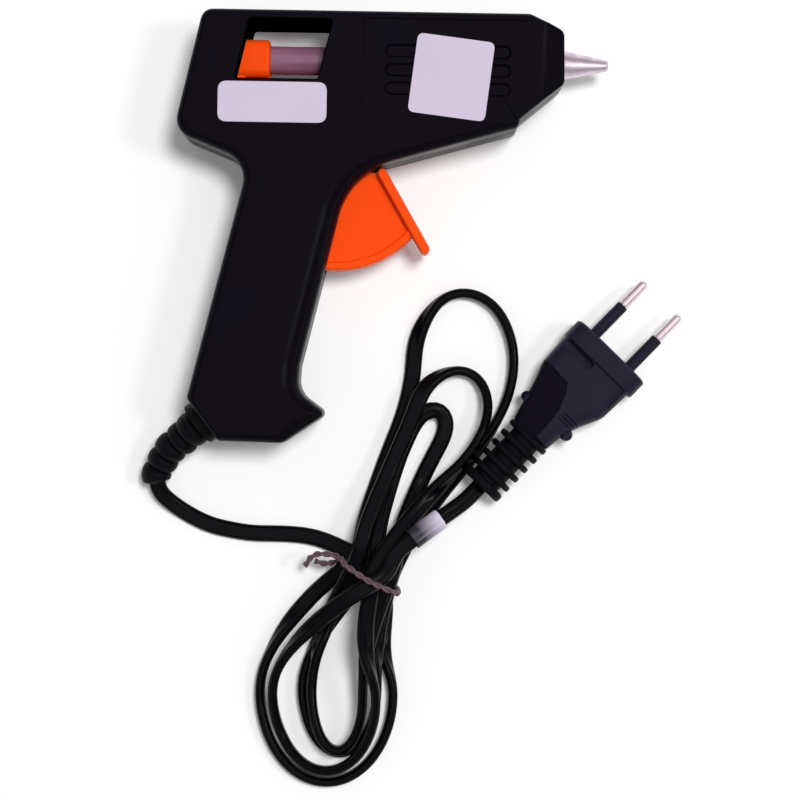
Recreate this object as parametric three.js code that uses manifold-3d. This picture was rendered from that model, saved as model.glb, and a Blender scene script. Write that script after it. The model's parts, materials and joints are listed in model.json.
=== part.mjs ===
// A mini hot glue gun lying on its left side, with its flat twin cord, hank and mains plug.
// Millimetres. X runs to the nozzle, Y up the gun's side view, Z away from the surface it lies on.
// The origin is on that surface, right under the trigger's pivot.
import * as THREE from "three";
import { mergeVertices } from "three/addons/utils/BufferGeometryUtils.js";
import Module from "manifold-3d";

const wasm = await Module();
wasm.setup();

// Clearances that every piece uses.
const gap = 0.3;
const overrun = 1;
const seam = 0.3;

// Driving sizes of the housing, measured from the pivot.
const thickness = 24;
const wall = 2;
const boreHeight = 27.4;
const aboveBore = 11.4;
const noseReach = 57.1;
const rearReach = 41;
const gripDrop = 70;
const bodyTop = boreHeight + aboveBore;
const mid = thickness / 2;

// Corners of the side view, anticlockwise from the top of the rear end. Each row gives the place as
// shares of the reaches above, the fillet's radius and the rounding of the edge that leads to the next.
const edge = { soft: 5.4, toe: 4, under: 3, plain: 2.5, slim: 2, crisp: 1.5, nose: 1 };
const fillet = {
  large: 18.6,
  waist: 7,
  foot: 6,
  rear: 5,
  top: 3.2,
  toe: 3,
  nose: 2,
  small: 1.5,
  notch: 0.8,
};
const outlineShares = [
  [-0.829, 1, fillet.top, edge.slim],
  [-1, 0.206, fillet.rear, edge.plain],
  [-0.537, 0.01, fillet.waist, edge.plain],
  [-0.893, -0.843, fillet.small, edge.crisp],
  [-0.695, -0.996, fillet.small, edge.plain],
  [-0.298, -1, fillet.toe, edge.toe],
  [-0.029, -0.891, fillet.small, edge.toe],
  [-0.212, -0.813, fillet.foot, edge.soft],
  [-0.202, -0.721, fillet.foot, edge.soft],
  [0.06, -0.024, fillet.large, edge.under],
  [0.795, 0.263, fillet.notch, edge.crisp],
  [0.806, 0.317, fillet.notch, edge.crisp],
  [1, 0.557, fillet.nose, edge.nose],
  [0.996, 0.894, fillet.nose, edge.crisp],
  [0.84, 1, fillet.small, edge.slim],
];

// Features of the housing.
const noseBevel = { length: 6.6, depth: 3.4 };
const panel = { left: 6.4, bottom: 11, depth: 0.35 };
const step = { x: 0.3, depth: 0.25 };
const groove = {
  left: 11.9,
  behindNose: 13.6,
  height: 3.3,
  pitch: 4.7,
  depth: 0.7,
  count: 3,
  topAbove: 1.4,
};
const windowHole = { left: -25.7, width: 20.8, below: 6, above: 9, lean: 0.233, frame: 1.6 };
const port = { radius: 4.3 };
const rib = { thickness: 1.6 };

// Feed: stick, ring and crank.
const stick = { radius: 3.6, rear: -31, length: 53 };
const ring = { front: -17.3, length: 12.7, halfHeight: 4.8, halfWidth: 5, corner: 1.8, slack: 0.35 };
const rail = { halfWidth: 4.1, height: 2.2, drop: 5.4 };
const pivotPin = { radius: 1.5, inset: 3 };
const hub = { radius: 3.2, halfWidth: 4 };
const crank = { radius: 18.9, halfWidth: 1.6, width: 4.6, pinRadius: 1.5, swing: 24 };
const fork = { thickness: 2.2, reach: 3.2, slotHeight: 4.2 };
const pad = { topX: 11.6, topY: -1.3, length: 24.4, angle: -59.7, thickness: 2.4, halfWidth: 5.5 };
const web = { radius: 26, halfWidth: 2.6, rimWidth: 2.1, rimHalfWidth: 4.1, from: -104, to: -43 };
const slot = { side: 0.5, clearance: 0.7, pastDegrees: 2, toDegrees: 4 };
const spring = { wire: 0.35, turns: 3.5, pitch: 1.05, slack: 0.4, leg: 9 };

// Heater: the chamber's front, its taper and the block under it follow the nose.
const chamber = { rear: 15, behindNose: 5.1, radius: 6, bore: 3.9, spigot: 4.9, spigotLength: 6, taper: 9 };
const chamberFront = noseReach - chamber.behindNose;
const block = { behindSpigot: 3, behindFront: 10, drop: 7.4, halfWidth: 5 };
const blockRear = chamber.rear + chamber.spigotLength + block.behindSpigot;
const blockFront = chamberFront - block.behindFront;
const heater = { length: 15, height: 2.4, halfWidth: 4.2 };
const clip = { length: 9, thickness: 0.6 };
const sleeve = { length: 7, radius: 6.6, lip: 5 };
const nozzle = {
  reach: 11.5,
  baseRadius: 3.65,
  tipRadius: 1.35,
  hole: 0.7,
  shank: 2.7,
  shankLength: 7,
  collar: 4,
};

// Fasteners: places are shares of the housing's reaches.
const screw = {
  head: 2.4,
  headHeight: 1.6,
  shank: 1.2,
  length: 15,
  sunk: 3.4,
  boss: 2.9,
  slotWidth: 0.6,
  slotDepth: 0.7,
};
const screwShares = [
  [0.73, 0.915],
  [0.53, 0.25],
  [-0.77, 0.925],
  [-0.44, -0.56],
  [-0.4, -0.9],
];

// Cord and what is on it.
const cord = { width: 4.3, thickness: 2.5, lie: 0.05 };
const boot = {
  neck: 3.1,
  flange: 4.6,
  flangeThickness: 1.6,
  firstRib: 5.9,
  rib: 4.1,
  lastRib: 3.5,
  coreShare: 0.72,
  ribGap: 0.9,
  tip: 2.9,
};
const clamp = {
  halfLength: 6.3,
  halfWidth: 2.2,
  thickness: 2,
  spread: 4.3,
  post: 2,
  screwHead: 1.8,
  screwShank: 0.85,
};
const wire = { radius: 0.8, spread: 5.9, lead: 0.6 };
const crimp = { radius: 1.5, length: 8 };
const tie = { radius: 0.55, clear: 0.35 };
const tag = { from: 5, to: 10, clear: 0.35, wall: 0.25 };
const plug = {
  collar: 11.7,
  collarLength: 5.4,
  body: 10.6,
  bodyEnd: 14.2,
  neck: 6.5,
  neckAt: 24.9,
  tail: 29.8,
  length: 48.5,
  halfHeight: 7,
  neckHalfHeight: 5.4,
  ribs: 6,
  rib: 5.9,
  ribCore: 3.6,
};
const pins = {
  spacing: 12.3,
  length: 19,
  sleeveLength: 10.6,
  sleeveRadius: 1.55,
  radius: 1.3,
  neck: 0.9,
  root: 4,
};

// Labels.
const ratingLabel = { x: -16.2, y: 15.4, width: 27.3, height: 10.2, corner: 2, tilt: 0, thickness: 0.15 };
const squareLabel = {
  x: noseReach / 2,
  y: 22.4,
  width: 19.5,
  height: 20,
  corner: 1.6,
  tilt: -6.8,
  thickness: 0.15,
};

// Finishes.
const finish = {
  housing: new THREE.MeshStandardMaterial({ color: 0x17121f, roughness: 0.45, metalness: 0 }),
  orange: new THREE.MeshStandardMaterial({ color: 0xff4b00, roughness: 0.4, metalness: 0 }),
  aluminium: new THREE.MeshStandardMaterial({ color: 0xbca6b8, roughness: 0.4, metalness: 1 }),
  steel: new THREE.MeshStandardMaterial({ color: 0x9a9aa0, roughness: 0.35, metalness: 1 }),
  ceramic: new THREE.MeshStandardMaterial({ color: 0xcfc8b8, roughness: 0.6, metalness: 0 }),
  silicone: new THREE.MeshStandardMaterial({ color: 0x8a2f22, roughness: 0.6, metalness: 0 }),
  glue: new THREE.MeshStandardMaterial({ color: 0x9a7d92, roughness: 0.3, metalness: 0 }),
  cord: new THREE.MeshStandardMaterial({ color: 0x0c0a10, roughness: 0.25, metalness: 0 }),
  core: new THREE.MeshStandardMaterial({ color: 0x6a4a36, roughness: 0.5, metalness: 0 }),
  tie: new THREE.MeshStandardMaterial({ color: 0x5f464b, roughness: 0.6, metalness: 0 }),
  plug: new THREE.MeshStandardMaterial({ color: 0x2a2638, roughness: 0.5, metalness: 0 }),
  label: new THREE.MeshStandardMaterial({ color: 0xdcd0e4, roughness: 0.4, metalness: 0 }),
};

// Solids and meshes.
function signedVolume(positions, index) {
  let sum = 0;
  const corners = [new THREE.Vector3(), new THREE.Vector3(), new THREE.Vector3()];
  for (let i = 0; i < index.length; i += 3) {
    corners.forEach((corner, k) => corner.fromArray(positions, 3 * index[i + k]));
    sum += corners[0].dot(corners[1].clone().cross(corners[2]));
  }
  return sum / 6;
}

function toSolid(geometry) {
  const bare = geometry.clone();
  bare.deleteAttribute("normal");
  bare.deleteAttribute("uv");
  const merged = mergeVertices(bare);
  const vertProperties = merged.attributes.position.array;
  const triVerts = new Uint32Array(merged.index.array);
  if (signedVolume(vertProperties, triVerts) < 0) {
    for (let i = 0; i < triVerts.length; i += 3) {
      [triVerts[i + 1], triVerts[i + 2]] = [triVerts[i + 2], triVerts[i + 1]];
    }
  }
  return new wasm.Manifold(new wasm.Mesh({ numProp: 3, vertProperties, triVerts }));
}

function toGeometry(solid) {
  const mesh = solid.getMesh();
  const geometry = new THREE.BufferGeometry();
  geometry.setAttribute("position", new THREE.BufferAttribute(mesh.vertProperties.slice(), 3));
  geometry.setIndex(new THREE.BufferAttribute(mesh.triVerts.slice(), 1));
  geometry.computeVertexNormals();
  return geometry;
}

const gun = new THREE.Group();

function addPiece(name, solid, material, parent = gun) {
  const mesh = new THREE.Mesh(toGeometry(solid), material);
  mesh.name = name;
  parent.add(mesh);
  return mesh;
}

// Building blocks: a block between two corners, a rod along an axis, a prism between two heights,
// a turned shape about an axis and a skin over rings of points.
function block3(x0, x1, y0, y1, z0, z1) {
  const geometry = new THREE.BoxGeometry(x1 - x0, y1 - y0, z1 - z0);
  geometry.translate((x0 + x1) / 2, (y0 + y1) / 2, (z0 + z1) / 2);
  return toSolid(geometry);
}

function rodZ(x, y, z0, z1, radius, sides = 16) {
  const geometry = new THREE.CylinderGeometry(radius, radius, z1 - z0, sides);
  geometry.rotateX(Math.PI / 2);
  geometry.translate(x, y, (z0 + z1) / 2);
  return toSolid(geometry);
}

function rodX(x0, x1, y, z, radius, sides = 16) {
  const geometry = new THREE.CylinderGeometry(radius, radius, x1 - x0, sides);
  geometry.rotateZ(Math.PI / 2);
  geometry.translate((x0 + x1) / 2, y, z);
  return toSolid(geometry);
}

function prismZ(points, z0, z1) {
  const shape = new THREE.Shape(points.map(([x, y]) => new THREE.Vector2(x, y)));
  const geometry = new THREE.ExtrudeGeometry(shape, { depth: z1 - z0, bevelEnabled: false });
  geometry.translate(0, 0, z0);
  return toSolid(geometry);
}

function turnedX(profile, y, z, sides = 20) {
  const points = profile.map(([x, radius]) => new THREE.Vector2(radius, x));
  const geometry = new THREE.LatheGeometry(points, sides);
  geometry.rotateZ(-Math.PI / 2);
  geometry.translate(0, y, z);
  return toSolid(geometry);
}

function turnedZ(profile, sides = 12) {
  const points = profile.map(([z, radius]) => new THREE.Vector2(radius, z));
  const geometry = new THREE.LatheGeometry(points, sides);
  geometry.rotateX(Math.PI / 2);
  return toSolid(geometry);
}

function skin(rings) {
  const count = rings[0].length;
  const positions = rings.flat().flatMap((point) => [point.x, point.y, point.z]);
  const index = [];
  for (let i = 0; i + 1 < rings.length; i++) {
    for (let k = 0; k < count; k++) {
      const a = i * count + k;
      const b = i * count + ((k + 1) % count);
      index.push(a, b, b + count, a, b + count, a + count);
    }
  }
  const capFaces = (ring) => {
    const origin = ring[0];
    const side = ring[1].clone().sub(origin).normalize();
    const normal = new THREE.Vector3();
    ring.forEach((point, k) => normal.add(point.clone().cross(ring[(k + 1) % count])));
    normal.normalize();
    const up = normal.clone().cross(side);
    const flat = ring.map((point) => {
      const arm = point.clone().sub(origin);
      return new THREE.Vector2(arm.dot(side), arm.dot(up));
    });
    return THREE.ShapeUtils.triangulateShape(flat, []);
  };
  capFaces(rings[0]).forEach(([a, b, c]) => index.push(a, c, b));
  const last = (rings.length - 1) * count;
  capFaces(rings[rings.length - 1]).forEach(([a, b, c]) => index.push(last + a, last + b, last + c));
  const geometry = new THREE.BufferGeometry();
  geometry.setAttribute("position", new THREE.Float32BufferAttribute(positions, 3));
  geometry.setIndex(index);
  return toSolid(geometry);
}

// The side view's outline, each edge moved inwards by its own inset.
const corners = outlineShares.map(([shareX, shareY, radius, rounding]) => ({
  x: shareX * (shareX > 0 ? noseReach : rearReach),
  y: shareY * (shareY > 0 ? bodyTop : gripDrop),
  radius,
  rounding,
}));

function placeOf([shareX, shareY]) {
  return [shareX * (shareX > 0 ? noseReach : rearReach), shareY * (shareY > 0 ? bodyTop : gripDrop)];
}

function outlineAt(insetOf, stepDegrees) {
  const count = corners.length;
  const lines = corners.map((corner, i) => {
    const next = corners[(i + 1) % count];
    const along = new THREE.Vector2(next.x - corner.x, next.y - corner.y).normalize();
    const inward = new THREE.Vector2(-along.y, along.x);
    const inset = insetOf(corner.rounding);
    const start = new THREE.Vector2(corner.x, corner.y).addScaledVector(inward, inset);
    return { along, inward, inset, start };
  });
  return corners.flatMap((corner, i) => {
    const before = lines[(i + count - 1) % count];
    const after = lines[i];
    const turn = before.along.x * after.along.y - before.along.y * after.along.x;
    const arm = after.start.clone().sub(before.start);
    const reach = (arm.x * after.along.y - arm.y * after.along.x) / turn;
    const tip = before.start.clone().addScaledVector(before.along, reach);
    const angle = Math.acos(before.along.dot(after.along));
    const shift = (turn > 0 ? -1 : 1) * Math.min(before.inset, after.inset);
    const radius = Math.max(corner.radius + shift, fillet.notch / 2);
    const tangent = radius * Math.tan(angle / 2);
    const from = tip.clone().addScaledVector(before.along, -tangent);
    const steps = Math.max(1, Math.round(angle / THREE.MathUtils.degToRad(stepDegrees)));
    const sign = Math.sign(turn);
    return Array.from({ length: steps + 1 }, (_, k) => {
      const swept = (angle * k) / steps;
      return from
        .clone()
        .addScaledVector(before.along, radius * Math.sin(swept))
        .addScaledVector(before.inward, sign * radius * (1 - Math.cos(swept)));
    });
  });
}

// How far an edge of the given rounding has drawn in at a depth under the flat face.
function roundedInset(rounding, depth) {
  if (depth >= rounding) return 0;
  return rounding - Math.sqrt(rounding ** 2 - (rounding - depth) ** 2);
}

const faceDepthShares = [1, 0.62, 0.33, 0.13, 0];
const outlineStep = 13;
const cavityStep = 24;

function ringAt(insetOf, z, stepDegrees) {
  return outlineAt(insetOf, stepDegrees).map((point) => new THREE.Vector3(point.x, point.y, z));
}

// One half of the housing, built upwards from the parting plane at z = 0.
const halfDepth = mid - seam / 2;
const cavityDepth = halfDepth - wall;

function outerHalf() {
  const rings = faceDepthShares.map((share) => {
    const depth = share * edge.soft;
    return ringAt((rounding) => roundedInset(rounding, depth), halfDepth - depth, outlineStep);
  });
  rings.unshift(ringAt(() => 0, 0, outlineStep));
  return skin(rings);
}

function cavityHalf() {
  const innerRounding = (rounding) => Math.max(rounding - wall, edge.nose / 2);
  const deepest = edge.soft - wall;
  const rings = [1, 0.3, 0].map((share) => {
    const depth = share * deepest;
    const insetOf = (rounding) => wall + roundedInset(innerRounding(rounding), depth);
    return ringAt(insetOf, cavityDepth - depth, cavityStep);
  });
  rings.unshift(ringAt(() => wall, -overrun, cavityStep));
  return skin(rings);
}

function windowCorners(grow) {
  const bottom = boreHeight - windowHole.below - grow;
  const top = boreHeight + windowHole.above + grow;
  const lean = (y) => (y - boreHeight + windowHole.below) * windowHole.lean;
  const right = windowHole.left + windowHole.width;
  return [
    [windowHole.left - grow + lean(bottom), bottom],
    [right + grow + lean(bottom), bottom],
    [right + grow + lean(top), top],
    [windowHole.left - grow + lean(top), top],
  ];
}

function grooveShape(left, right, y, height) {
  const radius = height / 2;
  const shape = [];
  const steps = 6;
  for (let k = 0; k <= steps; k++) {
    const angle = -Math.PI / 2 + (Math.PI * k) / steps;
    shape.push([right - radius + radius * Math.cos(angle), y + radius * Math.sin(angle)]);
  }
  for (let k = 0; k <= steps; k++) {
    const angle = Math.PI / 2 + (Math.PI * k) / steps;
    shape.push([left + radius + radius * Math.cos(angle), y + radius * Math.sin(angle)]);
  }
  return shape;
}

// Place of the boot on the slanted foot of the grip.
const footA = corners[3];
const footB = corners[4];
const footMid = new THREE.Vector2((footA.x + footB.x) / 2, (footA.y + footB.y) / 2);
const footAlong = new THREE.Vector2(footB.x - footA.x, footB.y - footA.y).normalize();
const footOut = new THREE.Vector2(footAlong.y, -footAlong.x);

function footPoint(out, z) {
  return new THREE.Vector3(footMid.x + footOut.x * out, footMid.y + footOut.y * out, z);
}

// The run of the cord inside the grip, and the clamp's place on it.
const gripShares = [
  [-0.66, -0.815],
  [-0.62, -0.73],
  [-0.58, -0.645],
];
const bootInner = -wall - boot.flangeThickness - gap;
const gripRoute = [
  footPoint(bootInner - gap, mid),
  footPoint(bootInner - gap - cord.width, mid),
  ...gripShares.map((share) => new THREE.Vector3(...placeOf(share), mid)),
];
const clampAt = gripRoute[3];
const clampAlong = gripRoute[4].clone().sub(gripRoute[2]).normalize();
const clampTurn = Math.atan2(clampAlong.y, clampAlong.x);

function clampPoint(across) {
  return [clampAt.x + Math.sin(clampTurn) * across, clampAt.y - Math.cos(clampTurn) * across];
}

// What both halves have inside: window frame, screw bosses, pivot socket, ribs and seats.
function insideFeatures(isRight) {
  const top = halfDepth - overrun / 2;
  const rearRib = chamber.rear + chamber.spigotLength + overrun;
  const frontRib = chamberFront - rib.thickness - overrun / 2;
  let features = prismZ(windowCorners(windowHole.frame), 0, top);
  screwShares.forEach((share) => {
    const [x, y] = placeOf(share);
    features = features.add(rodZ(x, y, 0, top, screw.boss, 12));
  });
  features = features.add(rodZ(0, 0, hub.halfWidth + gap - seam / 2, top, hub.radius));
  [rearRib, frontRib].forEach((x) => {
    const bottom = boreHeight - chamber.radius - 3 * gap - rib.thickness;
    features = features.add(block3(x, x + rib.thickness, bottom, bodyTop, 0, top));
  });
  const noseBack = noseReach - noseBevel.length - wall;
  features = features.add(block3(noseBack, noseReach, 0, bodyTop, cavityDepth - noseBevel.depth, top));
  if (!isRight) {
    [-1, 1].forEach((side) => {
      const [x, y] = clampPoint(side * clamp.spread);
      const postTop = cord.thickness / 2 + gap;
      features = features.add(rodZ(x, y, -postTop + gap, top, clamp.post, 10));
    });
    const restBottom = cord.thickness / 2 + gap;
    const rest = block3(-clamp.halfWidth, clamp.halfWidth, -clamp.spread, clamp.spread, restBottom, top);
    features = features.add(placed(rest, clampAt.x, clampAt.y, 0, clampTurn));
  }
  return features;
}

function placed(solid, x, y, z, turn) {
  const geometry = toGeometry(solid);
  geometry.rotateZ(turn);
  geometry.translate(x, y, z);
  return toSolid(geometry);
}

function mirroredDown(solid) {
  const geometry = toGeometry(solid);
  geometry.scale(1, 1, -1);
  return toSolid(geometry);
}

// The sector that the trigger sweeps, as a flat outline about the pivot.
function sector(radius, fromDegrees, toDegrees, steps) {
  const points = [[0, 0]];
  for (let k = 0; k <= steps; k++) {
    const angle = THREE.MathUtils.degToRad(fromDegrees + ((toDegrees - fromDegrees) * k) / steps);
    points.push([radius * Math.cos(angle), radius * Math.sin(angle)]);
  }
  return points;
}

const sweepStart = web.from - crank.swing - slot.pastDegrees;

function shellHalf(isRight) {
  const outer = outerHalf();
  const top = halfDepth + overrun;
  let shell = outer.subtract(cavityHalf());
  shell = shell.add(insideFeatures(isRight).intersect(outer));
  // Openings of the housing.
  shell = shell.subtract(prismZ(windowCorners(0), -overrun - clamp.thickness, top));
  const boreZ = -seam / 2;
  const chamberHole = chamber.radius + gap;
  shell = shell.subtract(rodX(-rearReach - overrun, 0, boreHeight, boreZ, port.radius));
  shell = shell.subtract(rodX(0, noseReach + overrun, boreHeight, boreZ, nozzle.baseRadius + gap));
  shell = shell.subtract(
    rodX(chamber.rear - overrun, chamberFront + gap, boreHeight, boreZ, chamberHole, 20));
  const passRear = ring.front - ring.length - gap - overrun;
  const passFront = windowHole.left + windowHole.width + 2 * port.radius + crank.width;
  const passBottom = boreHeight - rail.drop - hub.halfWidth;
  const passTop = boreHeight - stick.radius - 2 * gap;
  const railHole = rail.halfWidth + gap;
  const ringHole = ring.halfWidth + gap;
  const ringReach = ring.halfHeight + gap;
  shell = shell.subtract(block3(passRear, passFront, passBottom, passTop, -overrun, railHole));
  shell = shell.subtract(
    block3(passRear, ring.front, boreHeight - ringReach, boreHeight + ringReach, -overrun, ringHole));
  // The slot that the trigger moves in, and the socket of its pin.
  const sweep = sector(web.radius + slot.clearance, sweepStart, slot.toDegrees, 18);
  shell = shell.subtract(prismZ(sweep, -overrun, web.rimHalfWidth + slot.side));
  shell = shell.subtract(rodZ(0, 0, 0, mid - pivotPin.inset + gap - seam / 2, pivotPin.radius + gap));
  // The seat of the cord's strain relief.
  const neckHole = new THREE.CylinderGeometry(boot.neck + gap, boot.neck + gap, 4 * wall, 14);
  neckHole.rotateZ(Math.atan2(footOut.y, footOut.x) + Math.PI / 2);
  neckHole.translate(footMid.x, footMid.y, boreZ);
  shell = shell.subtract(toSolid(neckHole));
  // Outside: bevels beside the nozzle, the recessed panel and its grooves.
  shell = shell.subtract(toSolid(bevelWedge()));
  const front = noseReach + overrun;
  const stepTop = halfDepth - step.depth;
  const panelTop = stepTop - panel.depth;
  shell = shell.subtract(block3(step.x, front, -gripDrop / 2, bodyTop + overrun, stepTop, top));
  shell = shell.subtract(block3(panel.left, front, panel.bottom, bodyTop - edge.slim, panelTop, top));
  for (let k = 0; k < groove.count; k++) {
    const y = boreHeight + groove.topAbove - k * groove.pitch;
    const shape = grooveShape(groove.left, noseReach - groove.behindNose, y, groove.height);
    shell = shell.subtract(prismZ(shape, panelTop - groove.depth, top));
  }
  // Holes for the screws: through in the left half, blind in the right one.
  screwShares.forEach((share) => {
    const [x, y] = placeOf(share);
    const hole = screw.shank + gap;
    if (isRight) {
      shell = shell.subtract(rodZ(x, y, -overrun, screw.sunk + screw.length - mid + gap, hole, 10));
    } else {
      shell = shell.subtract(rodZ(x, y, -overrun, top, hole, 10));
      shell = shell.subtract(rodZ(x, y, mid - screw.sunk - seam / 2, top, screw.head + gap, 14));
    }
  });
  if (!isRight) {
    [-1, 1].forEach((side) => {
      const [x, y] = clampPoint(side * clamp.spread);
      shell = shell.subtract(rodZ(x, y, -clamp.thickness * 2, cavityDepth - gap, clamp.screwShank + gap, 8));
    });
  }
  return shell;
}

function bevelWedge() {
  const shape = new THREE.Shape([
    new THREE.Vector2(noseReach - noseBevel.length, halfDepth),
    new THREE.Vector2(noseReach + overrun, halfDepth - noseBevel.depth * (1 + overrun / noseBevel.length)),
    new THREE.Vector2(noseReach + overrun, halfDepth + overrun),
    new THREE.Vector2(noseReach - noseBevel.length, halfDepth + overrun),
  ]);
  const geometry = new THREE.ExtrudeGeometry(shape, { depth: bodyTop + overrun, bevelEnabled: false });
  geometry.rotateX(Math.PI / 2);
  geometry.translate(0, bodyTop + overrun, 0);
  return geometry;
}

// Right half up, left half mirrored below the parting plane.
const rightShell = addPiece("right_shell", shellHalf(true), finish.housing);
rightShell.position.z = mid + seam / 2;
const leftShell = addPiece("left_shell", mirroredDown(shellHalf(false)), finish.housing);
leftShell.position.z = mid - seam / 2;

// Nozzle and heater, turned about the bore's axis.
function makeNozzle() {
  const base = noseReach + gap;
  const rear = base - nozzle.collar - nozzle.shankLength;
  return turnedX([
    [rear, nozzle.hole * 2],
    [base, nozzle.hole * 2],
    [noseReach + nozzle.reach, nozzle.hole],
    [noseReach + nozzle.reach, nozzle.tipRadius],
    [base, nozzle.baseRadius],
    [base - nozzle.collar, nozzle.baseRadius],
    [base - nozzle.collar, nozzle.shank],
    [rear, nozzle.shank],
    [rear, nozzle.hole * 2],
  ], boreHeight, mid);
}

function makeChamber() {
  const taperAt = chamberFront - chamber.taper;
  const tube = turnedX([
    [chamber.rear, chamber.bore],
    [taperAt, chamber.bore],
    [taperAt + gap, nozzle.shank + gap],
    [chamberFront, nozzle.shank + gap],
    [chamberFront, chamber.radius],
    [chamber.rear + chamber.spigotLength, chamber.radius],
    [chamber.rear + chamber.spigotLength, chamber.spigot],
    [chamber.rear, chamber.spigot],
    [chamber.rear, chamber.bore],
  ], boreHeight, mid);
  const foot = block3(blockRear, blockFront, boreHeight - block.drop, boreHeight - chamber.bore - gap,
    mid - block.halfWidth, mid + block.halfWidth);
  const hollow = rodX(blockRear - overrun, blockFront + overrun, boreHeight, mid, chamber.bore + gap, 20);
  return tube.add(foot.subtract(hollow));
}

const heaterTop = boreHeight - block.drop - gap;
const heaterRear = (blockRear + blockFront - heater.length) / 2;

function makeHeater() {
  return block3(heaterRear, heaterRear + heater.length, heaterTop - heater.height, heaterTop,
    mid - heater.halfWidth, mid + heater.halfWidth);
}

function makeClip() {
  const rear = (blockRear + blockFront - clip.length) / 2;
  const inner = block.halfWidth + gap;
  const bottom = heaterTop - heater.height - gap;
  const outer = block3(rear, rear + clip.length, bottom - clip.thickness, boreHeight - chamber.bore,
    mid - inner - clip.thickness, mid + inner + clip.thickness);
  const hollow = block3(rear - overrun, rear + clip.length + overrun, bottom, boreHeight,
    mid - inner, mid + inner);
  const room = rodX(rear - overrun, rear + clip.length + overrun, boreHeight, mid, chamber.radius + gap, 20);
  return outer.subtract(hollow).subtract(room);
}

function makeInletSleeve() {
  const rear = chamber.rear - sleeve.length;
  const seat = chamber.rear - gap;
  const front = chamber.rear + chamber.spigotLength - 2 * gap;
  return turnedX([
    [rear, chamber.bore],
    [seat, chamber.bore],
    [seat, chamber.spigot + gap],
    [front, chamber.spigot + gap],
    [front, sleeve.radius],
    [rear + gap, sleeve.radius],
    [rear, sleeve.lip],
    [rear, chamber.bore],
  ], boreHeight, mid);
}

addPiece("nozzle", makeNozzle(), finish.aluminium);
addPiece("heat_chamber", makeChamber(), finish.aluminium);
addPiece("ptc_heater", makeHeater(), finish.ceramic);
addPiece("heater_clip", makeClip(), finish.steel);
addPiece("inlet_sleeve", makeInletSleeve(), finish.silicone);

// Stick and the carriage that pushes it.
const stickFront = stick.rear + stick.length;
addPiece("glue_stick", rodX(stick.rear, stickFront, boreHeight, mid, stick.radius, 24), finish.glue);

const restAngle = THREE.MathUtils.degToRad(90 + crank.swing / 2);
const pinX = crank.radius * Math.cos(restAngle);
const pinY = crank.radius * Math.sin(restAngle);

function roundedSquare(halfY, halfZ, radius) {
  const points = [];
  [[1, 1, 0], [-1, 1, 90], [-1, -1, 180], [1, -1, 270]].forEach(([signY, signZ, from]) => {
    for (let k = 0; k <= 3; k++) {
      const angle = THREE.MathUtils.degToRad(from + 30 * k);
      const y = signY * (halfY - radius) + radius * Math.cos(angle);
      const z = signZ * (halfZ - radius) + radius * Math.sin(angle);
      points.push([y, z]);
    }
  });
  return points;
}

function makeCarriage() {
  const rear = ring.front - ring.length;
  const round = roundedSquare(ring.halfHeight, ring.halfWidth, ring.corner);
  const ringEnds = [rear, ring.front].map((x) =>
    round.map(([y, z]) => new THREE.Vector3(x, boreHeight + y, mid + z)));
  let carriage = skin(ringEnds);
  const railTop = boreHeight - rail.drop;
  const railFront = pinX + fork.reach;
  carriage = carriage.add(block3(rear, rear + ring.length / 2, railTop - rail.height,
    boreHeight - ring.corner, mid - rail.halfWidth, mid + rail.halfWidth));
  const inner = rail.halfWidth - fork.thickness;
  [-1, 1].forEach((side) => {
    const z0 = side > 0 ? mid + inner : mid - rail.halfWidth;
    const z1 = z0 + fork.thickness;
    const foot = pinY - crank.pinRadius - gap - fork.thickness / 2;
    const cheek = block3(pinX - fork.reach, railFront, foot, railTop, z0, z1);
    carriage = carriage.add(cheek.add(block3(rear, railFront, railTop - rail.height, railTop, z0, z1)));
  });
  const bore = rodX(rear - overrun, ring.front + overrun, boreHeight, mid, stick.radius + ring.slack, 20);
  const halfSlot = crank.pinRadius + gap;
  const slotCut = block3(pinX - halfSlot, pinX + halfSlot, pinY - halfSlot,
    pinY - halfSlot + fork.slotHeight, mid / 2, mid + mid / 2);
  return carriage.subtract(bore).subtract(slotCut);
}

addPiece("carriage", makeCarriage(), finish.orange);

// Trigger: hub, crank with its cross pin, web with its rim, and the finger pad.
function capsule(x0, y0, x1, y1, radius) {
  const heading = Math.atan2(y1 - y0, x1 - x0);
  const points = [];
  for (let k = 0; k <= 6; k++) {
    const angle = heading - Math.PI / 2 + (Math.PI * k) / 6;
    points.push([x1 + radius * Math.cos(angle), y1 + radius * Math.sin(angle)]);
  }
  for (let k = 0; k <= 6; k++) {
    const angle = heading + Math.PI / 2 + (Math.PI * k) / 6;
    points.push([x0 + radius * Math.cos(angle), y0 + radius * Math.sin(angle)]);
  }
  return points;
}

function arcBand(inner, outer, fromDegrees, toDegrees, steps) {
  const arc = (radius) => sector(radius, fromDegrees, toDegrees, steps).slice(1);
  return [...arc(outer), ...arc(inner).reverse()];
}

const padHeading = THREE.MathUtils.degToRad(pad.angle);
const padRun = pad.length - pad.thickness;
const padEnd = [pad.topX + padRun * Math.cos(padHeading), pad.topY + padRun * Math.sin(padHeading)];

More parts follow.
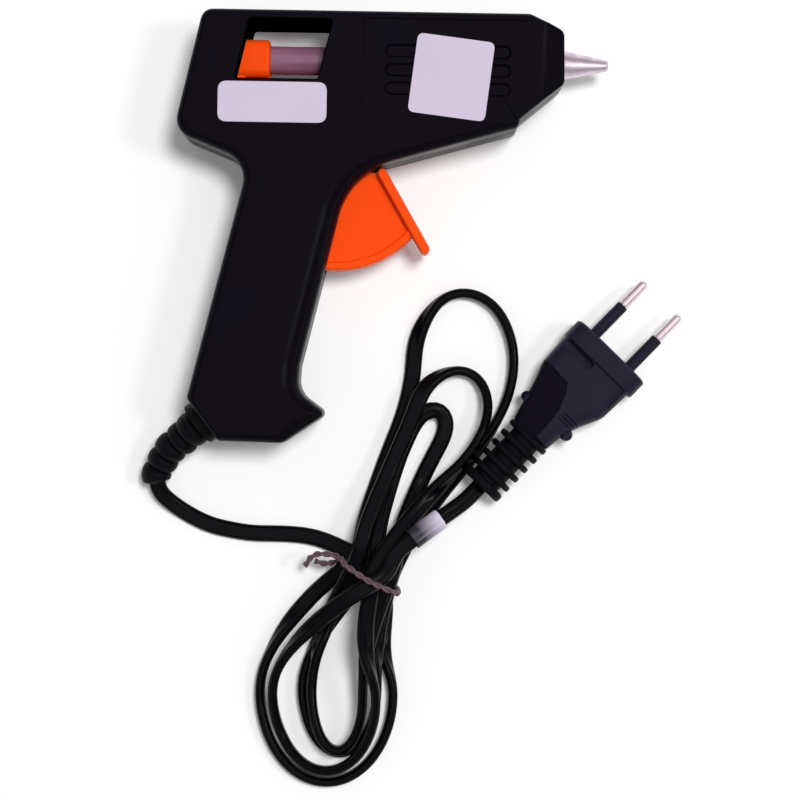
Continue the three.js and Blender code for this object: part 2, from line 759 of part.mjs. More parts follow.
function makeTrigger() {
  const slice = (points, half) => prismZ(points, mid - half, mid + half);
  const arc = sector(web.radius, web.from, web.to, 10);
  const rim = arcBand(web.radius - web.rimWidth, web.radius, web.from, web.to, 10);
  let trigger = slice([...arc, [pad.topX, pad.topY]], web.halfWidth);
  trigger = trigger.add(slice(rim, web.rimHalfWidth));
  trigger = trigger.add(slice(capsule(pad.topX, pad.topY, ...padEnd, pad.thickness / 2), pad.halfWidth));
  trigger = trigger.add(rodZ(0, 0, mid - hub.halfWidth, mid + hub.halfWidth, hub.radius, 20));
  trigger = trigger.add(slice(capsule(0, 0, pinX, pinY, crank.width / 2), crank.halfWidth));
  trigger = trigger.add(rodZ(pinX, pinY, mid - rail.halfWidth, mid + rail.halfWidth, crank.pinRadius, 12));
  return trigger.subtract(rodZ(0, 0, mid - hub.halfWidth - overrun, mid + hub.halfWidth + overrun,
    pivotPin.radius + gap));
}

addPiece("trigger", makeTrigger(), finish.orange);
const pinTop = thickness - pivotPin.inset;
addPiece("trigger_pin", rodZ(0, 0, pivotPin.inset, pinTop, pivotPin.radius), finish.steel);

// Tubes: a section of [side, up] points carried along a list of centres.
function heading(centres, i) {
  const before = centres[Math.max(0, i - 1)];
  const after = centres[Math.min(centres.length - 1, i + 1)];
  return after.clone().sub(before).normalize();
}

function tubeRings(centres, sectionAt, upright = new THREE.Vector3(0, 0, 1)) {
  return centres.map((centre, i) => {
    const along = heading(centres, i);
    const side = along.clone().cross(upright).normalize();
    const up = side.clone().cross(along).normalize();
    return sectionAt(i).map(([a, b]) =>
      centre.clone().addScaledVector(side, a).addScaledVector(up, b));
  });
}

function roundSection(radius, sides) {
  return Array.from({ length: sides }, (_, k) => {
    const angle = (2 * Math.PI * k) / sides;
    return [radius * Math.cos(angle), radius * Math.sin(angle)];
  });
}

function roundTube(points, radius, steps, sides, upright) {
  return skin(tubeRings(evenPoints(points, steps), () => roundSection(radius, sides), upright));
}

// The flat twin cord's section, turned by a roll about its run.
const flatShares = [
  [1, 0.4],
  [0.62, 1],
  [-0.62, 1],
  [-1, 0.4],
  [-1, -0.4],
  [-0.62, -1],
  [0.62, -1],
  [1, -0.4],
];
const hankShares = [[1, 0], [0.6, 1], [-0.6, 1], [-1, 0], [-0.6, -1], [0.6, -1]];

function cordSection(shares, roll, grow) {
  return shares.map(([a, b]) => {
    const wide = a * (cord.width / 2 + grow);
    const high = b * (cord.thickness / 2 + grow);
    return [wide * Math.cos(roll) - high * Math.sin(roll), wide * Math.sin(roll) + high * Math.cos(roll)];
  });
}

function evenPoints(points, steps) {
  return new THREE.CatmullRomCurve3(points, false, "catmullrom").getSpacedPoints(steps);
}

function flatTube(centres) {
  return skin(tubeRings(centres, () => cordSection(flatShares, 0, 0)));
}

// A sleeve: outer rings one way, inner rings back, closed on itself.
function sleeveSkin(outer, inner) {
  const rings = [...outer, ...inner.slice().reverse()];
  const count = rings[0].length;
  const positions = rings.flat().flatMap((point) => [point.x, point.y, point.z]);
  const index = [];
  rings.forEach((ring, i) => {
    const next = ((i + 1) % rings.length) * count;
    for (let k = 0; k < count; k++) {
      const a = i * count + k;
      const b = i * count + ((k + 1) % count);
      const c = next + ((k + 1) % count);
      index.push(a, b, c, a, c, next + k);
    }
  });
  const geometry = new THREE.BufferGeometry();
  geometry.setAttribute("position", new THREE.Float32BufferAttribute(positions, 3));
  geometry.setIndex(index);
  return toSolid(geometry);
}

// Return spring: a coil round the right half's pivot boss. One leg stands where the pulled crank
// comes to rest, the other reaches down into the grip.
function makeSpring() {
  const radius = hub.radius + spring.slack + spring.wire;
  const floor = mid + hub.halfWidth + gap + spring.wire + gap;
  const stepsATurn = 12;
  const points = [];
  points.push(new THREE.Vector3(radius, spring.leg - crank.width, mid + crank.halfWidth / 2));
  points.push(new THREE.Vector3(radius, spring.leg - crank.width, floor - gap));
  for (let k = 0; k <= spring.turns * stepsATurn; k++) {
    const turn = k / stepsATurn;
    const x = radius * Math.cos(2 * Math.PI * turn);
    const y = radius * Math.sin(2 * Math.PI * turn);
    points.push(new THREE.Vector3(x, y, floor + spring.pitch * turn));
  }
  points.push(new THREE.Vector3(-radius, -spring.leg, floor + spring.pitch * spring.turns));
  const nearlyUp = new THREE.Vector3(0.1, 0.2, 1);
  return skin(tubeRings(points, () => roundSection(spring.wire, 5), nearlyUp));
}

addPiece("trigger_spring", makeSpring(), finish.steel);

// Screws that join the halves, heads sunk in the left one.
function makeScrew(headRadius, headHeight, shankRadius, length, slotDepth) {
  const body = turnedZ([
    [-headHeight, 0],
    [-headHeight, headRadius * 0.8],
    [-headHeight * 0.6, headRadius],
    [0, headRadius],
    [0, shankRadius],
    [length - shankRadius, shankRadius],
    [length, shankRadius / 2],
    [length, 0],
  ]);
  const reach = headRadius * 0.6;
  const half = screw.slotWidth / 2;
  const bottom = -headHeight - overrun;
  const across = block3(-reach, reach, -half, half, bottom, slotDepth - headHeight);
  const upright = block3(-half, half, -reach, reach, bottom, slotDepth - headHeight);
  return body.subtract(across.add(upright));
}

screwShares.forEach((share, i) => {
  const solid = makeScrew(screw.head, screw.headHeight, screw.shank, screw.length, screw.slotDepth);
  const mesh = addPiece("screw_" + (i + 1), solid, finish.steel);
  const [x, y] = placeOf(share);
  mesh.position.set(x, y, screw.sunk - gap);
});

// Strain relief: flange inside the foot, neck through it, ribs along a curved run outside.
const bootShares = [
  [-0.898, -0.973, 0.84],
  [-0.961, -1.001, 0.75],
  [-1.02, -1.033, 0.66],
  [-1.076, -1.084, 0.52],
  [-1.11, -1.127, 0.43],
  [-1.107, -1.151, 0.39],
];
const bootRun = [
  footPoint(bootInner, mid),
  footPoint(0, mid),
  footPoint(boot.firstRib / 2, mid - gap),
  ...bootShares.map(([shareX, shareY, shareZ]) =>
    new THREE.Vector3(...placeOf([shareX, shareY]), shareZ * mid)),
];
const bootCurve = new THREE.CatmullRomCurve3(bootRun, false, "catmullrom");
const bootLength = bootCurve.getLength();
const bootEnd = bootCurve.getPointAt(1);
const bootEndAlong = bootCurve.getTangentAt(1);

function makeBoot() {
  const inside = -bootInner;
  const profile = [
    [0, boot.flange],
    [boot.flangeThickness, boot.flange],
    [boot.flangeThickness, boot.neck],
    [inside + gap, boot.neck],
    [inside + gap, boot.firstRib],
    [inside + boot.firstRib / 2, boot.firstRib],
  ];
  const first = inside + boot.firstRib / 2;
  const count = bootShares.length - 1;
  const pitch = (bootLength - first - boot.ribGap) / count;
  for (let k = 0; k < count; k++) {
    const radius = THREE.MathUtils.lerp(boot.rib, boot.lastRib, k / (count - 1));
    const start = first + pitch * k;
    profile.push([start + gap / 2, radius * boot.coreShare]);
    profile.push([start + boot.ribGap, radius * boot.coreShare]);
    profile.push([start + boot.ribGap + gap / 2, radius]);
    profile.push([start + pitch, radius]);
  }
  profile.push([bootLength, boot.tip]);
  const frames = profile.map(([s]) => bootCurve.getPointAt(Math.min(s / bootLength, 1)));
  const rings = profile.map(([s, radius], i) => {
    const along = bootCurve.getTangentAt(Math.min(s / bootLength, 1));
    const side = along.clone().cross(new THREE.Vector3(0, 0, 1)).normalize();
    const up = side.clone().cross(along).normalize();
    return roundSection(radius, 12).map(([a, b]) =>
      frames[i].clone().addScaledVector(side, a).addScaledVector(up, b));
  });
  return skin(rings);
}

addPiece("cord_boot", makeBoot(), finish.plug);

// Clamp bar over the cord inside the grip.
function makeClamp() {
  const bottom = mid - seam / 2 + gap;
  const channel = mid + cord.thickness / 2 + gap;
  const top = channel + clamp.thickness;
  const half = cord.width / 2 + gap;
  const past = clamp.halfWidth + overrun;
  const hole = clamp.screwShank + gap;
  let bar = block3(-clamp.halfWidth, clamp.halfWidth, -clamp.halfLength, clamp.halfLength, bottom, top);
  bar = bar.subtract(block3(-past, past, -half, half, bottom - overrun, channel));
  [-1, 1].forEach((side) => {
    bar = bar.subtract(rodZ(0, side * clamp.spread, bottom - overrun, top + overrun, hole, 8));
  });
  return placed(bar, clampAt.x, clampAt.y, 0, clampTurn);
}

addPiece("cord_clamp", makeClamp(), finish.orange);
[-1, 1].forEach((side, i) => {
  const length = mid - pivotPin.inset;
  const height = clamp.screwShank;
  const solid = makeScrew(clamp.screwHead, height, clamp.screwShank, length, screw.slotDepth / 2);
  const mesh = addPiece("clamp_screw_" + (i + 1), solid, finish.steel);
  const seat = mid + cord.thickness / 2 + clamp.thickness + 2 * gap;
  mesh.rotation.x = Math.PI;
  mesh.position.set(...clampPoint(side * clamp.spread), seat);
});

// Cord, cores, crimps and leads inside the housing.
addPiece("grip_cord", flatTube(evenPoints(gripRoute, 8)), finish.cord);

const gripEnd = gripRoute[gripRoute.length - 1];
const gripAlong = gripEnd.clone().sub(gripRoute[gripRoute.length - 2]).normalize();
const gripSide = new THREE.Vector3(gripAlong.y, -gripAlong.x, 0);
const coreShares = [
  [-0.6, -0.57, 0.68],
  [-0.573, -0.4, 1],
  [-0.5, -0.2, 1],
  [-0.34, -0.043, 1],
  [-0.195, 0.15, 1],
  [-0.05, 0.27, 1],
];
const crimpRear = hub.radius + overrun;
const crimpFront = crimpRear + crimp.length;
const crimpShares = [0, 0.31];
const crimpY = placeOf(crimpShares)[1];

[-1, 1].forEach((side, i) => {
  const z = mid + side * wire.spread;
  const coreSide = (side * cord.width) / 4;
  const start = gripEnd.clone().addScaledVector(gripAlong, gap).addScaledVector(gripSide, coreSide);
  const route = [
    start,
    start.clone().addScaledVector(gripAlong, cord.thickness),
    ...coreShares.map(([shareX, shareY, shareZ]) =>
      new THREE.Vector3(...placeOf([shareX, shareY]), mid + side * shareZ * wire.spread)),
    new THREE.Vector3(crimpRear - crimp.radius, crimpY, z),
    new THREE.Vector3(crimpRear - gap, crimpY, z),
  ];
  addPiece("wire_" + (i + 1), roundTube(route, wire.radius, 26, 8), finish.core);
  addPiece("crimp_" + (i + 1), rodX(crimpRear, crimpFront, crimpY, z, crimp.radius, 10), finish.aluminium);
  const leadStart = crimpFront + gap;
  const leadEnd = heaterRear - gap;
  const leadY = heaterTop - heater.height + wire.lead;
  const leadZ = mid + (side * heater.halfWidth) / 2;
  const lead = [
    new THREE.Vector3(leadStart, crimpY, z),
    new THREE.Vector3(leadStart + crimp.radius, crimpY, z),
    new THREE.Vector3((leadStart + leadEnd) / 2, (crimpY + leadY) / 2, (z + leadZ) / 2),
    new THREE.Vector3(leadEnd - crimp.radius, leadY, leadZ),
    new THREE.Vector3(leadEnd, leadY, leadZ),
  ];
  addPiece("heater_lead_" + (i + 1), roundTube(lead, wire.lead, 10, 8), finish.steel);
});

// The cord on the surface, from the strain relief to the waist of the hank. Places are chosen by hand.
const lying = cord.lie + cord.thickness / 2;
const outOfBoot = [
  [-43.6, -83.6, 3.2],
  [-41.6, -86.2, 2.1],
];
const toHank = [
  [-38.2, -88.7],
  [-33.5, -91.1],
  [-29.6, -92.4],
  [-21.3, -93.8],
  [-13.2, -94.2],
  [-7.4, -94.2],
];
const hankStart = new THREE.Vector3(-0.2, -96.1, lying);
const underWaist = [
  [4.4, -98.1],
  [7.2, -99.6],
  [9.9, -101.8],
  [12.6, -105.8],
  [14.2, -111.4],
];
const hankStartAlong = new THREE.Vector3(...underWaist[0], lying).sub(hankStart).normalize();
const leadRoute = [
  bootEnd.clone().addScaledVector(bootEndAlong, 2 * gap),
  bootEnd.clone().addScaledVector(bootEndAlong, cord.thickness),
  ...outOfBoot.map((place) => new THREE.Vector3(...place)),
  ...toHank.map((place) => new THREE.Vector3(...place, lying)),
  hankStart.clone().addScaledVector(hankStartAlong, -gap - cord.width),
  hankStart.clone().addScaledVector(hankStartAlong, -2 * gap),
];
const leadCentres = evenPoints(leadRoute, 18);
addPiece("cord_lead", flatTube(leadCentres), finish.cord);

// The hank: its spine from the lower tip over the waist to the upper tip, and the loops on both sides
// of the waist. Belly is the share of the reach up to the widest place. The left and right shares
// tell how much of the swelling comes early on that side.
const spine = [
  [1.36, -158.1],
  [1.05, -139.5],
  [0.9, -132.5],
  [1.9, -124.4],
  [4.2, -116.6],
  [7.5, -109.1],
  [11.3, -101.5],
  [15.0, -92.4],
  [20.1, -83.2],
  [24.1, -76.1],
  [27.9, -69.3],
  [31.1, -61.8],
  [33.3, -51.9],
  [33.1, -40.5],
  [31.6, -29.7],
];
const waistKnot = 6;
const lowerLoops = [
  { reach: 58.5, half: 17.3, shift: -1.6, bellyShare: 0.6, leftShare: 0.7, rightShare: 0.7 },
  { reach: 51, half: 9.7, shift: 1.8, bellyShare: 0.66, leftShare: 0.7, rightShare: 0.7 },
  { reach: 50, half: 6.6, shift: 1.3, bellyShare: 0.7, leftShare: 0.7, rightShare: 0.7 },
  { reach: 55, half: 13.45, shift: -2.05, bellyShare: 0.64, leftShare: 0.7, rightShare: 0.7 },
];
const upperLoops = [
  { reach: 76, half: 13, shift: 0, bellyShare: 0.76, leftShare: 1, rightShare: 0.3 },
  { reach: 44, half: 4.7, shift: -3.7, bellyShare: 0.82, leftShare: 0.8, rightShare: 0.8 },
  { reach: 55.8, half: 9.1, shift: -0.7, bellyShare: 0.8, leftShare: 0.8, rightShare: 0.7 },
];
const layer = { beside: 0.45, side: 0.3, above: 0.55, slope: 0.35, apart: 12 };
const pitch = cord.width + layer.beside;
const waistShares = { down: [1, 1, 1, 0], up: [-1, 0, -1, 0.7] };
const underSteps = 15;
const hiddenSteps = 7;
const tailSteps = 16;
const sideSteps = 9;
const fine = 3;
const settleRounds = 8;

const spineKnots = spine.map((place) => new THREE.Vector3(...place, 0));
const spineCurve = new THREE.CatmullRomCurve3(spineKnots, false, "catmullrom");
const stepsAKnot = 50;
const spineLengths = spineCurve.getLengths(stepsAKnot * (spine.length - 1));
const spineLength = spineLengths[spineLengths.length - 1];
const waistShare = spineLengths[stepsAKnot * waistKnot] / spineLength;

function beside(along, lateral) {
  const share = THREE.MathUtils.clamp(waistShare + along / spineLength, 0, 1);
  const ahead = spineCurve.getTangentAt(share);
  const point = spineCurve.getPointAt(share);
  return new THREE.Vector3(point.x + ahead.y * lateral, point.y - ahead.x * lateral, 0);
}

// One side of a loop from the waist to its tip: place and roll of the flat cord.
function loopSide(loop, direction, side, waistOffset) {
  const steps = sideSteps * fine;
  return Array.from({ length: steps + 1 }, (_, k) => {
    const share = k / steps;
    const beforeBelly = share < 0.5;
    const angle = (2 * share - 1) * (Math.PI / 2);
    const belly = loop.bellyShare;
    const along = beforeBelly ? belly * 2 * share : belly + (1 - belly) * Math.sin(angle);
    const early = side < 0 ? loop.leftShare : loop.rightShare;
    const rise = Math.sin(Math.PI * share);
    const swell = early * rise + (1 - early) * rise ** 6;
    const swelling = waistOffset + (side * loop.half - waistOffset) * swell;
    const lateral = beforeBelly ? swelling : side * loop.half * Math.cos(angle);
    const drift = loop.shift * Math.sin((Math.PI / 2) * Math.min(along / belly, 1));
    const point = beside(direction * along * loop.reach, lateral + drift);
    const flatUntil = direction > 0 && side < 0 ? 0.5 : 0.2;
    const edgeFrom = direction > 0 && side < 0 ? 0.95 : 0.42;
    const roll = (Math.PI / 2) * THREE.MathUtils.smoothstep(share, flatUntil, edgeFrom);
    return { point, roll };
  });
}

function hankPlan() {
  const start = [hankStart.clone().setZ(0), ...underWaist.map((place) => new THREE.Vector3(...place, 0))];
  const plan = evenPoints(start, underSteps).map((point) => ({ point, roll: 0 }));
  lowerLoops.forEach((loop, i) => {
    const down = loopSide(loop, -1, 1, waistShares.down[i] * pitch);
    const up = loopSide(loop, -1, -1, waistShares.up[i] * pitch).reverse();
    plan.push(...down.slice(i === 0 ? hiddenSteps : 1), ...up.slice(1));
    if (i === upperLoops.length) return;
    const climb = loopSide(upperLoops[i], 1, -1, waistShares.up[i] * pitch);
    const fall = loopSide(upperLoops[i], 1, 1, waistShares.down[i + 1] * pitch).reverse();
    plan.push(...climb.slice(1), ...fall.slice(1));
  });
  const out = plan[plan.length - 1].point;
  const ahead = beside(1, 0).sub(beside(0, 0)).normalize();
  plan.push({ point: out.clone().addScaledVector(ahead, cord.thickness), roll: 0 });
  plan.push({ point: out.clone().addScaledVector(ahead, cord.width + gap), roll: 0 });
  return plan;
}

// The tail's run over the bundle and down to the plug.
const plugAxis = new THREE.Vector3(-0.688, -0.726, 0).normalize();
const plugPlace = [71.2, -45.3];
const plugFront = new THREE.Vector3(...plugPlace, plug.halfHeight + cord.lie);
const plugEnd = plugFront.clone().addScaledVector(plugAxis, plug.length + 2 * gap);
const overBundle = [
  [18.9, -95.6],
  [23.6, -91.9],
  [28.6, -88.3],
];

function tailPlan(hank) {
  const start = hank[hank.length - 1].point;
  const ahead = start.clone().sub(hank[hank.length - 2].point).normalize();
  const route = [
    start,
    start.clone().addScaledVector(ahead, cord.thickness),
    ...overBundle.map((place) => new THREE.Vector3(...place, 0)),
    plugEnd.clone().addScaledVector(plugAxis, cord.width),
    plugEnd,
  ];
  const flat = evenPoints(route.map((point) => point.clone().setZ(0)), tailSteps);
  return flat.slice(1).map((point) => ({ point, roll: 0 }));
}

// Each place rests on the surface or above the strands laid before it, with room for the sleeve.
function settle(plan, hankCount) {
  const count = plan.length;
  const run = [0];
  for (let i = 1; i < count; i++) {
    run.push(run[i - 1] + plan[i].point.distanceTo(plan[i - 1].point));
  }
  const halfOf = (size, other, roll) =>
    (size * Math.abs(Math.cos(roll)) + other * Math.abs(Math.sin(roll))) / 2;
  const sleeveRoom = plan.map((_, i) =>
    (i >= hankCount + tag.from - 1 && i < hankCount + tag.to - 1 ? tag.clear + tag.wall : 0));
  const wide = plan.map(({ roll }, i) => halfOf(cord.width, cord.thickness, roll) + sleeveRoom[i]);
  const high = plan.map(({ roll }, i) => halfOf(cord.thickness, cord.width, roll) + sleeveRoom[i]);
  const waistPoint = beside(0, 0);
  const floor = plan.map(({ point }, i) => {
    const near = 1 - THREE.MathUtils.smoothstep(point.distanceTo(waistPoint), pitch * 1.4, pitch * 2.4);
    return cord.lie + high[i] + near * (2 * tie.radius + tie.clear);
  });
  const z = floor.slice();
  z[0] = lying;
  z[count - 1] = plugEnd.z;
  z[count - 2] = plugEnd.z;
  for (let round = 0; round < settleRounds; round++) {
    for (let i = 0; i < count; i++) {
      for (let j = 0; j < i && run[i] - run[j] > layer.apart; j++) {
        const apart = plan[i].point.distanceTo(plan[j].point);
        if (apart >= wide[i] + wide[j] + layer.side) continue;
        z[i] = Math.max(z[i], z[j] + high[i] + high[j] + layer.above);
      }
    }
    for (let i = 1; i < count; i++) {
      z[i] = Math.max(z[i], z[i - 1] - layer.slope * (run[i] - run[i - 1]));
    }
    for (let i = count - 2; i > 0; i--) {
      z[i] = Math.max(z[i], z[i + 1] - layer.slope * (run[i + 1] - run[i]));
    }
  }
  return plan.map(({ point, roll }, i) => ({ point: point.clone().setZ(z[i]), roll }));
}

const hankPlaces = hankPlan();
const settled = settle([...hankPlaces, ...tailPlan(hankPlaces)], hankPlaces.length);
const hankSettled = settled.slice(0, hankPlaces.length);
const hankRun = hankSettled.filter((_, i) => i % fine === 0 || i === hankSettled.length - 1);
const hankCentres = hankRun.map(({ point }) => point);
const hankRings = tubeRings(hankCentres, (i) => cordSection(hankShares, hankRun[i].roll, 0));
addPiece("cord_hank", skin(hankRings), finish.cord);

// Least gap of the hank to itself, measured between points of rings that lie apart along the cord.
function leastGap(rings) {
  const spread = rings.map((ring) => ring.flatMap((point, k) => {
    const next = ring[(k + 1) % ring.length];
    return [point, point.clone().lerp(next, 0.33), point.clone().lerp(next, 0.67)];
  }));
  let least = Infinity;
  const run = [0];
  for (let i = 1; i < rings.length; i++) {
    run.push(run[i - 1] + rings[i][0].distanceTo(rings[i - 1][0]));
  }
  for (let i = 0; i < rings.length; i++) {
    for (let j = 0; j < i; j++) {
      if (run[i] - run[j] < layer.apart) continue;
      for (const a of spread[i]) {
        for (const b of spread[j]) least = Math.min(least, a.distanceTo(b));
      }
    }
  }
  return least;
}

console.log("least gap of the hank to itself", leastGap(hankRings).toFixed(2));

// The tail leaves the hank with a gap, square to its end.
const hankEnd = hankSettled[hankSettled.length - 1].point;
const tailPlaces = settled.slice(hankPlaces.length).map(({ point }) => point);
const tailStart = hankEnd.clone().lerp(tailPlaces[0], (2 * gap) / hankEnd.distanceTo(tailPlaces[0]));
const tailCentres = [tailStart, ...tailPlaces];
addPiece("cord_tail", flatTube(tailCentres), finish.cord);

// A pale sleeve round the tail.
const tagCentres = tailCentres.slice(tag.from, tag.to);
const tagRings = (grow) => tubeRings(tagCentres, () => cordSection(flatShares, 0, grow));
addPiece("cord_label", sleeveSkin(tagRings(tag.clear + tag.wall), tagRings(tag.clear)), finish.label);

// The twist tie: once round the waist, with its ends twisted out to the left.
const waistPlace = beside(0, 0);
const atWaist = hankSettled.filter(({ point }) => point.distanceTo(waistPlace.setZ(point.z)) < 2 * pitch);
const tieOut = tie.clear + tie.radius;
const bundleTop = Math.max(...atWaist.map(({ point }) => point.z)) + cord.thickness / 2 + tieOut;
const bundleHalf = pitch + cord.width / 2 + tieOut;
const tieLow = cord.lie + tie.radius;
const tieShares = [
  [-1.84, -0.77, 0.4],
  [-1.5, -0.7, 0.36],
  [-1.2, -0.5, 0.22],
  [-1, -0.35, 0.02],
  [-0.8, -0.35, 0],
  [0, -0.35, 0],
  [0.8, -0.35, 0],
  [1, -0.35, 0.08],
  [1.03, -0.35, 0.75],
  [0.85, -0.35, 1],
  [0, -0.4, 1.03],
  [-0.85, -0.3, 1],
  [-1.03, -0.25, 0.75],
  [-1.25, -0.23, 0.6],
  [-1.77, -0.44, 0.55],
  [-2, -0.7, 0.5],
  [-2.05, -1, 0.4],
];
const tieRoute = tieShares.map(([across, along, up]) => {
  const place = beside(along * bundleHalf, across * bundleHalf);
  return place.setZ(THREE.MathUtils.lerp(tieLow, bundleTop, up));
});
const tieAcross = beside(1, 0).sub(beside(0, 0)).normalize();
addPiece("cord_tie", roundTube(tieRoute, tie.radius, 60, 6, tieAcross), finish.tie);

// The plug in a frame of its own: X along it from the front face, Z up.
const plugGroup = new THREE.Group();
plugGroup.position.copy(plugFront);
plugGroup.rotation.z = Math.atan2(plugAxis.y, plugAxis.x);
gun.add(plugGroup);
const plugSides = 16;

function plugRing(x, halfWidth, halfHeight, power) {
  return Array.from({ length: plugSides }, (_, k) => {
    const angle = (2 * Math.PI * (k + 0.5)) / plugSides;
    const squash = (value) => Math.sign(value) * Math.abs(value) ** power;
    return new THREE.Vector3(x, halfWidth * squash(Math.cos(angle)), halfHeight * squash(Math.sin(angle)));
  });
}

function makePlugBody() {
  const boxy = 0.6;
  const oval = 0.85;
  const shoulder = (plug.bodyEnd + plug.neckAt) / 2;
  const rings = [
    plugRing(0, plug.collar - overrun, plug.halfHeight - overrun, boxy),
    plugRing(gap, plug.collar, plug.halfHeight, boxy),
    plugRing(plug.collarLength, plug.collar, plug.halfHeight, boxy),
    plugRing(plug.collarLength + gap, plug.body, plug.halfHeight - overrun, boxy),
    plugRing(plug.bodyEnd, plug.body, plug.halfHeight - overrun, boxy),
    plugRing(shoulder, (plug.body + plug.neck) / 2 - gap, plug.neckHalfHeight + gap, oval),
    plugRing(plug.neckAt, plug.neck, plug.neckHalfHeight, oval),
    plugRing(plug.tail, plug.ribCore, plug.ribCore, 1),
  ];
  const pitch = (plug.length - plug.tail) / plug.ribs;
  for (let k = 0; k < plug.ribs; k++) {
    const start = plug.tail + pitch * k;
    rings.push(plugRing(start + pitch * 0.35, plug.ribCore, plug.ribCore, 1));
    rings.push(plugRing(start + pitch * 0.45, plug.rib, plug.rib, 1));
    rings.push(plugRing(start + pitch * 0.98, plug.rib, plug.rib, 1));
    rings.push(plugRing(start + pitch, plug.ribCore, plug.ribCore, 1));
  }
  let body = skin(rings);
  [-1, 1].forEach((side) => {
    const y = (side * pins.spacing) / 2;
    body = body.subtract(rodX(-overrun, pins.root + gap, y, 0, pins.neck + gap, 12));
  });
  return body;
}

addPiece("plug_body", makePlugBody(), finish.plug, plugGroup);
[["a", -1], ["b", 1]].forEach(([letter, side]) => {
  const y = (side * pins.spacing) / 2;
  const sleeveEnd = -gap - pins.sleeveLength;
  addPiece("plug_pin_" + letter, turnedX([
    [-pins.length, 0],
    [-pins.length, pins.radius * 0.5],
    [-pins.length + pins.radius / 2, pins.radius],
    [sleeveEnd - gap, pins.radius],
    [sleeveEnd - gap, pins.neck],
    [pins.root, pins.neck],
    [pins.root, 0],
  ], y, 0, 12), finish.steel, plugGroup);
  addPiece("pin_sleeve_" + letter, turnedX([
    [sleeveEnd, pins.neck + gap],
    [-gap, pins.neck + gap],
    [-gap, pins.sleeveRadius],
    [sleeveEnd, pins.sleeveRadius],
    [sleeveEnd, pins.neck + gap],
  ], y, 0, 12), finish.plug, plugGroup);
});

// Blank labels on the right half.
function makeLabel(label) {
  const points = roundedSquare(label.width / 2, label.height / 2, label.corner);
  return prismZ(points, 0, label.thickness);
}

function placeLabel(name, label, height) {
  const mesh = addPiece(name, makeLabel(label), finish.label);
  mesh.position.set(label.x, label.y, height);
  mesh.rotation.z = THREE.MathUtils.degToRad(label.tilt);
}

placeLabel("rating_label", ratingLabel, thickness);
placeLabel("square_label", squareLabel, thickness - step.depth - panel.depth);

export default gun;
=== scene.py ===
import json
import math
import bmesh
import bpy
from mathutils import Matrix, Vector


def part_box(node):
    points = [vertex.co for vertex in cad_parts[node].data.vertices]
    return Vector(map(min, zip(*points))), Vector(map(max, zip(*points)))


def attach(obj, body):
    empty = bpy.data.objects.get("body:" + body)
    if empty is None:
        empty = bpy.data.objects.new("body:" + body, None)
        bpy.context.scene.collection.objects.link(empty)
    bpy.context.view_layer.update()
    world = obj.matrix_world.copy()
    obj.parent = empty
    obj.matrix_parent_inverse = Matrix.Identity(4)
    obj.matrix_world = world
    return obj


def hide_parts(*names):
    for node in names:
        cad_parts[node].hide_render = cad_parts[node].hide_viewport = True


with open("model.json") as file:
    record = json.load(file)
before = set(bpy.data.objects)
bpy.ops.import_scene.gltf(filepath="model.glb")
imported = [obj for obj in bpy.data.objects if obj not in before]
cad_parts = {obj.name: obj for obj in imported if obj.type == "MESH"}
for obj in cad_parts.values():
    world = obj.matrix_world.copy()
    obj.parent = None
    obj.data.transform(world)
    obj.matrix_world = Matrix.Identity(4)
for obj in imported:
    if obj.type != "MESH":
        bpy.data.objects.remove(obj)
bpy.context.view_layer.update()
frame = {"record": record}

mm = 0.001
scene = bpy.context.scene


def linked(name, data):
    thing = bpy.data.objects.new(name, data)
    scene.collection.objects.link(thing)
    return thing


# Colours and nodes

def tone(hexCode):
    # sRGB hex to the linear colour that the shaders take
    channels = [int(hexCode[i:i + 2], 16) / 255 for i in (0, 2, 4)]
    linear = [c / 12.92 if c <= 0.04045 else ((c + 0.055) / 1.055) ** 2.4 for c in channels]
    return (*linear, 1)


def addNode(tree, kind, values=None):
    # a value is a setting of the node, a number for a socket, or the socket or node that feeds it
    node = tree.nodes.new(kind)
    for key, value in (values or {}).items():
        if isinstance(value, bpy.types.Node):
            value = value.outputs[0]
        if isinstance(value, bpy.types.NodeSocket):
            tree.links.new(value, node.inputs[key])
        elif isinstance(key, str) and hasattr(node, key):
            setattr(node, key, value)
        else:
            node.inputs[key].default_value = value
    return node


def newMaterial(name):
    material = bpy.data.materials.new(name)
    material.use_nodes = True
    material.node_tree.nodes.clear()
    return material, material.node_tree


def finishWith(material, shader):
    addNode(material.node_tree, "ShaderNodeOutputMaterial", {"Surface": shader})
    return material


def twoTone(material, first, second, blend, values):
    # a surface that goes from the first colour to the second as blend goes from 0 to 1
    mixed = addNode(material.node_tree, "ShaderNodeMix",
                    {"data_type": "RGBA", 6: tone(first), 7: tone(second), "Factor": blend})
    return finishWith(material, addNode(material.node_tree, "ShaderNodeBsdfPrincipled",
                                        {"Base Color": mixed.outputs[2], **values}))


